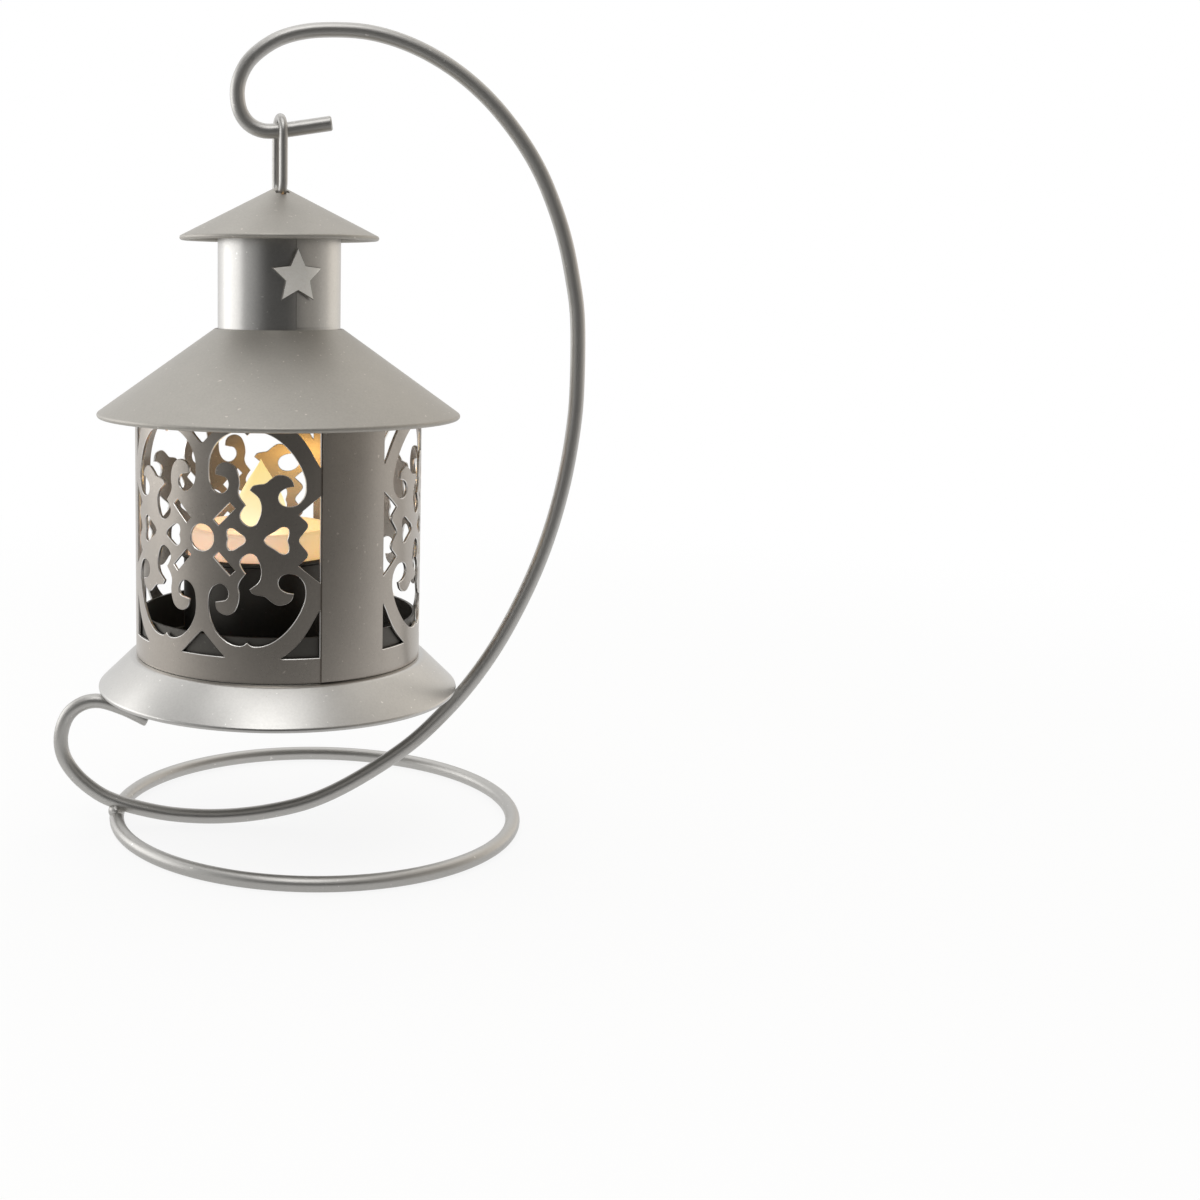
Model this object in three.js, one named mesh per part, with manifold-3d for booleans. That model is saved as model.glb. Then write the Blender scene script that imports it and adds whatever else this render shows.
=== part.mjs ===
// Hanging candle lantern: a pierced metal lantern that hangs by a wire link from
// an S-shaped wire stand on a ring foot, with a flameless candle in its cup.
// Millimetres, +Z up. The origin is the centre of the ring foot, on the surface it stands on.
// The S wire and the lantern share an upright plane a little in front of the ring's middle.
import * as THREE from 'three';
import { mergeVertices } from 'three/addons/utils/BufferGeometryUtils.js';
import Module from 'manifold-3d';

const wasm = await Module();
wasm.setup();

// Clearances
const seatGap = 0.3;
const rimGap = 1.5;

// Stand
const standWireDiameter = 4.0;
const ringWireDiameter = 4.0;
const ringRadius = 55.4;
const standForward = 6.0;
const floorRunGap = 0.3;
const hangOffset = 10.4;
const baseClearance = 39.9;
const hookTipReach = 13.8;
const hookTipRise = 2.0;
const hookCurlReach = 11.3;
const hookRise = 26.2;
const bowReach = 70.1;
const bowHeight = 127.0;
const footCurlReach = 70.4;
const curlClearance = 3.0;
const partDrop = 3.0;
const weldLength = 6.4;
const weldWidth = 4.6;
const weldHeight = 4.4;

// Hanging link
const linkWireDiameter = 2.3;
const linkBendRadius = 4.4;
const linkLength = 21.2;
const linkTurn = 14;
const linkSeam = 0.3;

// Sheet metal of the lantern
const sheet = 0.8;
const lapSheet = 0.6;
const capRadius = 26.7;
const capDrop = 13.8;
const capTipRadius = 4.0;
const capBead = 0.7;
const tipBridge = 2.8;
const tipHoleLength = 3.9;
const tipSwingRoom = 0.7;
const chimneyRadius = 16.5;
const chimneyShow = 23.2;
const chimneySink = 1.5;
const chimneyLapStart = 17;
const chimneyLapSweep = 24;
const roofRadius = 48.9;
const roofDrop = 23.2;
const rimBead = 0.8;
const bodyRadius = 38.66;
const bodyHeight = 71.3;

// Star on the chimney
const starRadius = 7.4;
const starWaist = 3.5;
const starHeight = 13.7;

// Pierced windows
const windowCount = 3;
const windowPhase = -28.4;
const windowHalfWidth = 30.85;
const windowHalfHeight = 30.1;
const windowSill = 6.3;
const lapInset = 0.5;
const circleHoleRadius = 3.45;
const slotHoleLength = 6.4;
const slotHoleWidth = 2.0;
const slotHoleReach = 8.9;

// Base and cup
const baseRimRadius = 48.9;
const baseShoulder = 39.9;
const flareSlope = 44;
const flangeInnerRadius = 27.0;
const panWallHeight = 11.0;
const cupRadius = 20.9;
const cupHeight = 25.2;
const cupOffset = -4.8;
const cupLip = 0.7;

// Flameless candle
const candleHeight = 32.4;
const candleWall = 1.3;
const candleDish = 2.4;
const candleRimRound = 1.0;
const flameRadius = 6.9;
const flameHeight = 20.5;
const flameNeckRadius = 3.6;
const flameNeckLength = 1.6;
const flameWall = 1.1;
const ledRadius = 2.0;
const ledHeight = 6.0;
const postWall = 0.9;
const plateThickness = 1.2;
const cellRadius = 10.0;
const cellThickness = 3.2;
const boardThickness = 1.0;
const boardRadius = 12.0;
const contactWidth = 4.0;
const contactThickness = 0.4;
const doorMargin = 1.4;
const doorSlotDepth = 0.5;
const doorSlotWidth = 1.6;
const switchLength = 4.0;
const switchWidth = 2.6;
const switchTravel = 2.0;
const switchHeight = 2.4;
const switchReach = 14.9;
const switchRecess = 0.5;

// Facets
const wireSides = 10;
const wireStep = 5.6;
const linkSteps = 26;
const footSteps = 52;
const beadSteps = 6;
const roundFacets = 48;
const smallFacets = 36;
const scrollStep = 2.6;
const edgeStep = 3.2;
const heartStep = 1.8;
const circleCorners = 16;
const lapFacets = 8;

// Places worked out from the sizes above, from the base up to the crown of the stand
const rad = THREE.MathUtils.degToRad;
const wireRadius = standWireDiameter / 2;
const ringWireRadius = ringWireDiameter / 2;
const linkRadius = linkWireDiameter / 2;
const hangX = -hangOffset;
const candleRadius = cupRadius - sheet - seatGap;

// How far a rolled rim reaches out and down from the end of its sheet's line
const rimOut = (bead, angle) => bead - (bead - sheet / 2) * Math.sin(angle);
const rimDown = (bead, angle) => bead + (bead - sheet / 2) * Math.cos(angle);

// The base and what stands in it
const flareAngle = rad(flareSlope);
const flareEnd = baseRimRadius - rimOut(rimBead, flareAngle);
const baseRimZ = baseClearance + rimDown(rimBead, flareAngle);
const flangeZ = baseRimZ + (flareEnd - baseShoulder) * Math.tan(flareAngle);
const panZ = flangeZ + sheet + seatGap;
const cupZ = panZ + sheet + seatGap;
const candleZ = cupZ + sheet / 2 + seatGap;
const bodyBottomZ = flangeZ + sheet / 2 + seatGap;
const bodyTopZ = bodyBottomZ + bodyHeight;

// The roof, chimney and cap
const roofSlope = roofDrop / (roofRadius - chimneyRadius);
const roofAngle = Math.atan(roofSlope);
const roofNeck = chimneyRadius + seatGap + (sheet / 2) * Math.sin(roofAngle);
const roofFall = (radius) => sheet / 2 + (radius - roofNeck) * roofSlope + sheet / 2 / Math.cos(roofAngle);
const roofTopZ = bodyTopZ + seatGap + roofFall(bodyRadius);
const roofUnderside = (radius) => roofTopZ - roofFall(radius);
const capSlope = Math.atan(capDrop / capRadius);
const capRimZ = roofTopZ + chimneyShow;
const tipZ = capRimZ + capDrop;

// The strip between the cap's holes, the link it hangs on and the hook
const tipDrop = (radius) => capTipRadius - Math.sqrt(capTipRadius ** 2 - radius ** 2);
const linkHalf = linkBendRadius - linkRadius;
const bridgeHalf = tipBridge / 2;
const bridgeZ = tipZ - tipDrop(bridgeHalf) - sheet / 2;
const linkBottomCentre = bridgeZ + Math.sqrt((linkHalf - seatGap) ** 2 - bridgeHalf ** 2);
const linkTopCentre = linkBottomCentre + linkLength - 2 * linkBendRadius;
const hookSeatZ = linkTopCentre + linkHalf - seatGap - wireRadius;
const crownZ = hookSeatZ + hookRise;
const curlZ = baseClearance - curlClearance - wireRadius;

const point = (x, y) => new THREE.Vector2(x, y);

const pewter = () => new THREE.MeshStandardMaterial({ color: 0x8b8883, roughness: 0.42, metalness: 0.9 });
const pewterWire = () => new THREE.MeshStandardMaterial({ color: 0x8f8d8a, roughness: 0.35, metalness: 0.9 });
const wax = () => new THREE.MeshStandardMaterial({ color: 0xf2cfa6, roughness: 0.55, metalness: 0 });
const glow = () => new THREE.MeshStandardMaterial({ color: 0xffe79a, roughness: 0.4, metalness: 0 });
const plastic = () => new THREE.MeshStandardMaterial({ color: 0xe9e2d6, roughness: 0.5, metalness: 0 });
const steel = () => new THREE.MeshStandardMaterial({ color: 0xc4c6c8, roughness: 0.3, metalness: 1 });
const boardGreen = () => new THREE.MeshStandardMaterial({ color: 0x2f6b46, roughness: 0.6, metalness: 0 });

const lantern = new THREE.Group();

function addPiece(name, geometry, material, forward = standForward) {
  const mesh = new THREE.Mesh(geometry, material);
  mesh.name = name;
  mesh.position.y = -forward;
  lantern.add(mesh);
  return mesh;
}

// A closed geometry with its shared vertices merged, empty triangles dropped and faces outwards.
function closed(geometry) {
  const bare = geometry.clone();
  bare.deleteAttribute('normal');
  bare.deleteAttribute('uv');
  const merged = mergeVertices(bare, 1e-4);
  const position = merged.attributes.position;
  const index = merged.index.array;
  const a = new THREE.Vector3();
  const b = new THREE.Vector3();
  const c = new THREE.Vector3();
  const kept = [];
  let volume = 0;
  for (let i = 0; i < index.length; i += 3) {
    const [p, q, r] = [index[i], index[i + 1], index[i + 2]];
    if (p === q || q === r || r === p) continue;
    kept.push(p, q, r);
    a.fromBufferAttribute(position, p);
    b.fromBufferAttribute(position, q);
    c.fromBufferAttribute(position, r);
    volume += a.dot(b.cross(c));
  }
  if (volume < 0) kept.reverse();
  merged.setIndex(kept);
  return merged;
}

function solid(geometry) {
  const shape = closed(geometry);
  const vertProperties = new Float32Array(shape.attributes.position.array);
  const triVerts = new Uint32Array(shape.index.array);
  return new wasm.Manifold(new wasm.Mesh({ numProp: 3, vertProperties, triVerts }));
}

function geometryOf(manifold) {
  const mesh = manifold.getMesh();
  const geometry = new THREE.BufferGeometry();
  geometry.setAttribute('position', new THREE.BufferAttribute(mesh.vertProperties, 3));
  geometry.setIndex(new THREE.BufferAttribute(mesh.triVerts, 1));
  return geometry;
}

// A ring or cup turned round a vertical axis at (x, 0) from its section.
function turned(section, facets = roundFacets, x = 0) {
  const lathe = new THREE.LatheGeometry(section, facets);
  lathe.rotateX(Math.PI / 2);
  lathe.translate(x, 0, 0);
  return closed(lathe);
}

// The section of a metal sheet that follows a line. Its far end may be rolled under to a bead that
// stays flush with the sheet's upper face.
function sheetSection(line, thickness, bead = 0) {
  const half = thickness / 2;
  const left = [];
  const right = [];
  for (let i = 0; i < line.length; i++) {
    const before = line[Math.max(i - 1, 0)];
    const after = line[Math.min(i + 1, line.length - 1)];
    const inward = i > 0 ? line[i].clone().sub(before).normalize() : after.clone().sub(line[i]).normalize();
    const outward = i < line.length - 1 ? after.clone().sub(line[i]).normalize() : inward;
    const along = inward.clone().add(outward).normalize();
    const mitre = half / Math.max(along.dot(inward), 0.4);
    const across = point(-along.y, along.x);
    left.push(line[i].clone().addScaledVector(across, mitre));
    right.push(line[i].clone().addScaledVector(across, -mitre));
  }
  const end = [];
  if (bead > 0) {
    const tip = line[line.length - 1];
    const heading = tip.clone().sub(line[line.length - 2]).angle();
    const inset = bead - half;
    const centre = point(tip.x + inset * Math.sin(heading), tip.y - inset * Math.cos(heading));
    const sweep = 1.5 * Math.PI + Math.asin((bead - thickness) / bead);
    for (let i = 0; i <= beadSteps; i++) {
      const turn = heading + Math.PI / 2 - (i / beadSteps) * sweep;
      end.push(point(centre.x + bead * Math.cos(turn), centre.y + bead * Math.sin(turn)));
    }
    left.pop();
    right.pop();
  }
  const onAxis = line[0].x === 0;
  if (onAxis) {
    left[0].x = 0;
    right[0].x = 0;
  }
  const outline = [...right, ...end.reverse(), ...left.reverse()];
  return onAxis ? outline : [...outline, outline[0].clone()];
}

// A round wire swept along a path.
function wire(path, radius, steps, sides = wireSides) {
  const section = new THREE.Shape();
  section.absarc(0, 0, radius, 0, 2 * Math.PI);
  return closed(new THREE.ExtrudeGeometry(section, { steps, extrudePath: path, curveSegments: sides / 2 }));
}

// Stand: the S wire runs from the hook tip over the crown, down the bow and round the foot.
// The bow passes beside the base rim, which sets how far the lantern hangs from it.
const floorZ = wireRadius + floorRunGap;
const crossingZ = ringWireDiameter + wireRadius + seatGap;
const bowPassLean = 0.8;
const bowPassX = hangX + baseRimRadius + (wireRadius + rimGap) / bowPassLean;

// The wire is one on the real stand. Here it parts square across, a little below the rim, into the bow
// and the foot, where it leans by partLean.
const partLean = 0.76;
const partPoint = (extra) => [
  bowPassX - (partDrop + extra) * Math.sqrt(1 - partLean ** 2),
  baseRimZ - (partDrop + extra) * partLean,
];

const hookPoint = (reach, share) => [hangX + reach, hookSeatZ + hookRise * share];
const crownPoint = (reach, drop) => [reach, crownZ - drop];
const upperBow = (reach, share) => [bowReach * reach, bowHeight + (crownZ - bowHeight) * share];
const lowerBow = (reach, share) => [bowReach * reach, bowHeight - (bowHeight - baseRimZ) * share];
const footCurl = (reach, share) => [-footCurlReach * reach, crossingZ + (curlZ - crossingZ) * share];
const bowLine = [
  [hangX + hookTipReach, hookSeatZ + hookTipRise],
  [hangX + hookTipReach / 2, hookSeatZ + hookTipRise * 0.48],
  hookPoint(0, 0),
  hookPoint(-hookCurlReach * 0.38, -0.004),
  hookPoint(-hookCurlReach * 0.7, 0.054),
  hookPoint(-hookCurlReach * 0.91, 0.168),
  hookPoint(-hookCurlReach, 0.33),
  hookPoint(-hookCurlReach * 0.965, 0.49),
  hookPoint(-hookCurlReach * 0.77, 0.665),
  hookPoint(-hookCurlReach * 0.46, 0.797),
  hookPoint(-hookCurlReach * 0.02, 0.91),
  hookPoint(hookTipReach * 0.43, 0.977),
  crownPoint(hangX + hookTipReach, 0),
  crownPoint(bowReach * 0.19, hookRise * 0.025),
  crownPoint(bowReach * 0.342, hookRise * 0.143),
  upperBow(0.494, 0.895),
  upperBow(0.629, 0.81),
  upperBow(0.746, 0.705),
  upperBow(0.833, 0.6),
  upperBow(0.894, 0.495),
  upperBow(0.94, 0.389),
  upperBow(0.971, 0.282),
  upperBow(0.993, 0.175),
  upperBow(1, 0),
  lowerBow(0.993, 0.157),
  lowerBow(0.949, 0.385),
  lowerBow(0.864, 0.617),
  lowerBow(0.73, 0.851),
  [bowPassX, baseRimZ],
  partPoint(0),
];
const footLine = [
  partPoint(seatGap),
  [bowPassX * 0.812, baseRimZ * 0.768],
  [bowPassX * 0.6, baseRimZ * 0.557],
  [ringRadius * 0.179, baseRimZ * 0.296],
  [-ringRadius * 0.021, baseRimZ * 0.166],
  [-ringRadius * 0.222, floorZ + 1.6],
  [-ringRadius * 0.42, floorZ + 0.15],
  [-ringRadius * 0.6, floorZ],
  [-ringRadius * 0.78, floorZ + 1.0],
  [-ringRadius, crossingZ + 0.1],
  footCurl(0.856, 0.086),
  footCurl(0.94, 0.26),
  footCurl(0.99, 0.455),
  footCurl(0.999, 0.655),
  footCurl(0.97, 0.86),
  footCurl(0.915, 0.97),
  footCurl(0.852, 1),
  footCurl(0.758, 0.935),
  footCurl(0.656, 0.815),
];
function standPiece(line, radius) {
  const path = new THREE.CatmullRomCurve3(
    line.map(([x, z]) => new THREE.Vector3(x, 0, z)), false, 'centripetal');
  return wire(path, radius, Math.round(path.getLength() / wireStep));
}
addPiece('bow_wire', standPiece(bowLine, wireRadius), pewterWire());
addPiece('foot_wire', standPiece(footLine, wireRadius), pewterWire());

// Foot: the ring, standing on its flat lower facets, with the weld that holds the S wire.
const ringLift = ringWireRadius * Math.cos(Math.PI / wireSides);
const footRing = new THREE.TorusGeometry(ringRadius, ringWireRadius, wireSides, footSteps);
footRing.translate(0, 0, ringLift);
const weld = new THREE.SphereGeometry(0.5, 14, 10);
weld.scale(weldWidth, weldLength, weldHeight);
weld.translate(-Math.sqrt(ringRadius ** 2 - standForward ** 2), -standForward, ringWireDiameter);
const wireRoom = standPiece(footLine, wireRadius + seatGap);
wireRoom.translate(0, -standForward, 0);
const foot = solid(footRing).add(solid(weld)).subtract(solid(wireRoom));
addPiece('base_ring', geometryOf(foot), pewterWire(), 0);

// Link: an oval bent from wire that straddles the hook above and the tip of the cap below, turned a
// little about the upright. The holes in the cap turn with it.
const linkPath = new THREE.CurvePath();
const linkCorner = (y, z) => new THREE.Vector3(hangX, y, z);
class LinkBend extends THREE.Curve {
  constructor(centreZ, start, sweep) {
    super();
    Object.assign(this, { centreZ, start, sweep });
  }

  getPoint(t, target = new THREE.Vector3()) {
    const turn = this.start + t * this.sweep;
    return target.set(hangX, linkBendRadius * Math.cos(turn), this.centreZ + linkBendRadius * Math.sin(turn));
  }
}
const seamZ = (linkTopCentre + linkBottomCentre) / 2;
linkPath.add(new THREE.LineCurve3(linkCorner(linkBendRadius, seamZ + linkSeam / 2),
  linkCorner(linkBendRadius, linkTopCentre)));
linkPath.add(new LinkBend(linkTopCentre, 0, Math.PI));
linkPath.add(new THREE.LineCurve3(linkCorner(-linkBendRadius, linkTopCentre),
  linkCorner(-linkBendRadius, linkBottomCentre)));
linkPath.add(new LinkBend(linkBottomCentre, Math.PI, Math.PI));
linkPath.add(new THREE.LineCurve3(linkCorner(linkBendRadius, linkBottomCentre),
  linkCorner(linkBendRadius, seamZ - linkSeam / 2)));
function turnedWithLink(geometry) {
  return geometry.translate(hangOffset, 0, 0).rotateZ(rad(linkTurn)).translate(hangX, 0, 0);
}
addPiece('hanging_loop', turnedWithLink(wire(linkPath, linkRadius, linkSteps)), pewterWire());

// Cap: a shallow cone with a rounded tip. The strip of metal between its two holes hangs on the link.
const tipArc = [0, 0.5, 1].map((part) => point(
  capTipRadius * Math.sin(part * capSlope), tipZ - capTipRadius * (1 - Math.cos(part * capSlope))));
const capLine = [
  ...tipArc,
  point(capRadius - rimOut(capBead, capSlope), capRimZ + rimDown(capBead, capSlope)),
];
const capSolid = solid(turned(sheetSection(capLine, sheet, capBead), roundFacets, hangX));
const tipHole = (side) => {
  const hole = new THREE.BoxGeometry(
    linkWireDiameter + 2 * tipSwingRoom, tipHoleLength, capTipRadius + linkWireDiameter);
  return solid(turnedWithLink(hole.translate(hangX, side * (bridgeHalf + tipHoleLength / 2), tipZ)));
};
addPiece('cap_roof', geometryOf(capSolid.subtract(tipHole(1)).subtract(tipHole(-1))), pewter());

// Chimney: a tube with a lapped seam. It stands in the main roof and carries the cap.
const [capKnee, capEdge] = capLine.slice(-2);
const coneSlope = (capKnee.y - capEdge.y) / (capEdge.x - capKnee.x);
const capUnderside = (radius) => capKnee.y - (radius - capKnee.x) * coneSlope
  - (sheet / 2) * Math.hypot(1, coneSlope);
const lapRadius = chimneyRadius + lapSheet;
const chimneyTopZ = capUnderside(lapRadius) - seatGap;
const chimneyBottomZ = roofTopZ - chimneySink;

function tube(outer, wall, bottom, top, facets = roundFacets, x = 0) {
  const inner = outer - wall;
  const section = [point(inner, bottom), point(outer, bottom), point(outer, top), point(inner, top)];
  return turned([...section, section[0].clone()], facets, x);
}

// A curved strip of sheet that lies on a tube, from one azimuth to another.
function lapStrip(radius, thickness, start, sweep, bottom, top) {
  const outline = new THREE.Shape();
  const from = rad(start - 90);
  const to = rad(start + sweep - 90);
  outline.absarc(0, 0, radius + thickness, from, to, false);
  outline.absarc(0, 0, radius - sheet / 2, to, from, true);
  const strip = new THREE.ExtrudeGeometry(outline, {
    depth: top - bottom, bevelEnabled: false, curveSegments: lapFacets });
  return strip.translate(hangX, 0, bottom);
}

const chimney = solid(tube(chimneyRadius, sheet, chimneyBottomZ, chimneyTopZ, smallFacets, hangX))
  .add(solid(lapStrip(
    chimneyRadius, lapSheet, chimneyLapStart, chimneyLapSweep, roofTopZ + seatGap, chimneyTopZ)));
addPiece('chimney_tube', geometryOf(chimney), pewter());

// Star: a flat plate fixed over the chimney's seam.
const starShape = new THREE.Shape();
for (let i = 0; i < 10; i++) {
  const reach = i % 2 ? starWaist : starRadius;
  const turn = Math.PI / 2 + (i * Math.PI) / 5;
  starShape.lineTo(reach * Math.cos(turn), reach * Math.sin(turn));
}
const starGeometry = new THREE.ExtrudeGeometry(starShape, { depth: sheet, bevelEnabled: false });
const starMesh = addPiece('star_plate', closed(starGeometry), pewter());
const starTurn = rad(chimneyLapStart);
const starSeat = lapRadius + seatGap;
starMesh.position.add(new THREE.Vector3(
  hangX + starSeat * Math.sin(starTurn), -starSeat * Math.cos(starTurn), roofTopZ + starHeight));
starMesh.rotation.set(Math.PI / 2, starTurn, 0);

// Main roof: a cone with a rolled rim, its top edge round the chimney.
const roofEnd = roofRadius - rimOut(rimBead, roofAngle);
const roofLine = [
  point(roofNeck, roofTopZ - sheet / 2),
  point(roofEnd, roofTopZ - sheet / 2 - (roofEnd - roofNeck) * roofSlope),
];
addPiece('main_roof', turned(sheetSection(roofLine, sheet, rimBead), roundFacets, hangX), pewter());

// Body: a rolled sheet with windows of scrollwork between plain bars, lapped and closed on one bar.
// The scrollwork is drawn on a grid of squares for a quarter of a window and mirrored both ways.
// Column 0 is the window's middle line, row 0 its middle height. A run is a smooth line through
// its points, and runs meet at sharp corners.
const gridColumns = 31;
const gridRows = 30;
const scrollRuns = [
  [[13, 12.5], [13.9, 11.8], [15.2, 10.7], [15.9, 9.1], [15.9, 7.1], [15.3, 5.2], [14.5, 3.9],
    [13.3, 3.4], [12, 3.8], [10.9, 4.8], [10.5, 6], [11.1, 7.4], [12, 8.6]],
  [[12, 8.6], [10.5, 10.6], [10.1, 12], [10.4, 14], [10.1, 16.3], [9, 18.4], [7.1, 19.3],
    [5.1, 18.8], [4, 17.5], [3.9, 16.1]],
  [[3.9, 16.1], [5.3, 15.8], [6.8, 15.4], [7.5, 13.9], [6.9, 12.2], [5.3, 11.4], [3.5, 12.1],
    [2.3, 13.8], [1.9, 16.4], [2.2, 20], [3.9, 23.4], [6.4, 25.7], [9, 26.8], [11.3, 26.8], [12.35, 26]],
  [[12.35, 26], [13.5, 26.8], [15.4, 26.9], [18, 26.2], [21, 24.3], [23.8, 21.4], [26, 17.9],
    [27.2, 14.3], [26.9, 11.1], [25.2, 9], [23, 8.4], [21.1, 9], [20.3, 10.6], [20.9, 12.2],
    [22.4, 13.1], [24.3, 13.5]],
  [[24.3, 13.5], [23.6, 15.2], [22, 16.2], [20, 16.3], [18.3, 15.3], [16.9, 14.2], [15, 13.9],
    [13.7, 13.5], [13, 12.5]],
];
const innerHeartRuns = [
  [[7.35, 0], [7, 1.4], [7.4, 2.5], [8.4, 2.8], [10.2, 1.8], [11.7, 0.7], [12, 0],
    [11.7, -0.7], [10.2, -1.8], [8.4, -2.8], [7.4, -2.5], [7, -1.4], [7.35, 0]],
];
const outerHeartRuns = [
  [[16.7, 0], [17.3, 0.9], [19.4, 2.2], [21.4, 3.4], [22.7, 3], [22.9, 1.4], [22.5, 0],
    [22.9, -1.4], [22.7, -3], [21.4, -3.4], [19.4, -2.2], [17.3, -0.9], [16.7, 0]],
];
const toothRuns = [
  [[31, 10.9], [29.2, 9.5], [27.2, 7.9], [25.4, 6.4]],
  [[25.4, 6.4], [26.3, 5.6], [27.7, 4.2], [27.8, 3.3], [26.7, 1.8], [25.6, 0.3], [25.6, -0.3],
    [26.7, -1.8], [27.8, -3.3], [27.7, -4.2], [26.3, -5.6], [25.4, -6.4]],
  [[25.4, -6.4], [27.2, -7.9], [29.2, -9.5], [31, -10.9]],
  [[31, -10.9], [31, 10.9]],
];
const cornerRuns = [
  [[20.9, 30], [23.2, 28.3], [25.8, 25.9], [28.2, 22.6], [29.8, 19.8], [31, 17.9]],
  [[31, 17.9], [31, 30]],
  [[31, 30], [20.9, 30]],
];
const middleRuns = [
  [[-6.5, 30], [-3.4, 27], [-1.3, 24.9], [0, 23.9], [1.3, 24.9], [3.4, 27], [6.5, 30]],
  [[6.5, 30], [-6.5, 30]],
];

function runOutline(runs, step) {
  const outline = [];
  for (const run of runs) {
    const line = new THREE.CatmullRomCurve3(run.map(([column, row]) => new THREE.Vector3(
      column * (windowHalfWidth / gridColumns),
      row * (windowHalfHeight / gridRows), 0)), false, 'centripetal');
    const pieces = run.length > 2 ? Math.ceil(line.getLength() / step) : 1;
    const points = line.getSpacedPoints(pieces);
    points.pop();
    outline.push(...points.map(({ x, y }) => point(x, y)));
  }
  return outline;
}

function roundOutline(radius, count) {
  return Array.from({ length: count }, (_, i) => point(
    radius * Math.cos((2 * Math.PI * i) / count), radius * Math.sin((2 * Math.PI * i) / count)));
}

// A slot that points away from the round hole at 45 degrees.
function slotOutline() {
  const turn = Math.PI / 4;
  return [[1, 1], [-1, 1], [-1, -1], [1, -1]].map(([x, y]) => point(
    slotHoleReach + (x * slotHoleLength) / 2, (y * slotHoleWidth) / 2).rotateAround(point(0, 0), turn));
}

const mirrored = (outline, x, y) => outline.map((corner) => point(corner.x * x, corner.y * y));
const bothSides = (outline) => [outline, mirrored(outline, -1, 1)];
const bothEnds = (outline) => [outline, mirrored(outline, 1, -1)];
const fourWays = (outline) => bothSides(outline).flatMap(bothEnds);
const windowOutlines = [
  roundOutline(circleHoleRadius, circleCorners),
  ...fourWays(slotOutline()),
  ...fourWays(runOutline(scrollRuns, scrollStep)),
  ...bothSides(runOutline(innerHeartRuns, heartStep)),
  ...bothSides(runOutline(outerHeartRuns, heartStep)),
  ...bothSides(runOutline(toothRuns, scrollStep)),
  ...fourWays(runOutline(cornerRuns, edgeStep)),
  ...bothEnds(runOutline(middleRuns, edgeStep)),
];

// A straight-sided cutter for one hole, pushed out square to the sheet at the hole's middle.
function holeCutter(outline) {
  const columns = outline.map((corner) => corner.x);
  const middle = (Math.min(...columns) + Math.max(...columns)) / 2;
  const face = outline.map((corner) => point(
    bodyRadius * Math.sin((corner.x - middle) / bodyRadius), corner.y));
  const cutter = new THREE.ExtrudeGeometry(new THREE.Shape(face), {
    depth: bodyRadius / 2, bevelEnabled: false });
  return cutter.translate(0, 0, bodyRadius * 0.75).rotateX(Math.PI / 2).rotateZ(middle / bodyRadius);
}

const windowZ = bodyBottomZ + windowSill + windowHalfHeight;
const windowHalfAngle = THREE.MathUtils.radToDeg(windowHalfWidth / bodyRadius);
const windowPitch = 360 / windowCount;
const lapTopZ = roofUnderside(bodyRadius + lapSheet) - seatGap;
let body = solid(tube(bodyRadius, sheet, bodyBottomZ, bodyTopZ, roundFacets, hangX))
  .add(solid(lapStrip(bodyRadius, lapSheet, windowPhase + windowHalfAngle + lapInset,
    windowPitch - 2 * windowHalfAngle - 2 * lapInset, bodyBottomZ, lapTopZ)));
for (let i = 0; i < windowCount; i++) {
  for (const outline of windowOutlines) {
    const cutter = holeCutter(outline).rotateZ(rad(windowPhase + i * windowPitch));
    body = body.subtract(solid(cutter.translate(hangX, 0, windowZ)));
  }
}
addPiece('body_sheet', geometryOf(body), pewter());

// Base: a flared skirt with a flat flange, and a shallow pan on it that plugs into the body.
const skirtLine = [
  point(flangeInnerRadius, flangeZ),
  point(baseShoulder, flangeZ),
  point(flareEnd, baseRimZ),
];
addPiece('base_skirt', turned(sheetSection(skirtLine, sheet, rimBead), roundFacets, hangX), pewter());
const panWall = bodyRadius - sheet - seatGap - sheet / 2;
const panLine = [point(0, panZ), point(panWall, panZ), point(panWall, panZ + panWallHeight)];
addPiece('base_pan', turned(sheetSection(panLine, sheet), roundFacets, hangX), pewter());

// Cup: stands on the pan, a little off its middle, with a lip turned outwards.
const cupX = hangX + cupOffset;
const cupWall = cupRadius - sheet / 2;
const cupLine = [
  point(0, cupZ),
  point(cupWall, cupZ),
  point(cupWall, cupZ + cupHeight),
];
addPiece('candle_cup', turned(sheetSection(cupLine, sheet, cupLip), smallFacets, cupX), pewter());

// Flameless candle: a shell with a dished top, a plate with a round battery door under it.
const candleTopZ = candleZ + candleHeight;
const candleInner = candleRadius - candleWall;
const dishZ = candleTopZ - candleDish;
const neckHole = flameNeckRadius + seatGap;
const shellSection = [
  point(candleInner, candleZ),
  point(candleRadius, candleZ),
  point(candleRadius, candleTopZ - candleRimRound),
  point(candleRadius - candleRimRound * 0.3, candleTopZ - candleRimRound * 0.3),
  point(candleRadius - candleRimRound, candleTopZ),
  point(candleInner - candleRimRound, candleTopZ - candleRimRound * 0.4),
  point(candleInner - candleDish - candleRimRound, dishZ + candleRimRound * 0.3),
  point(neckHole, dishZ),
  point(neckHole, dishZ - candleWall),
  point(candleInner, dishZ - candleWall),
  point(candleInner, candleZ),
];
addPiece('candle_shell', turned(shellSection, smallFacets, cupX), wax());

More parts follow.
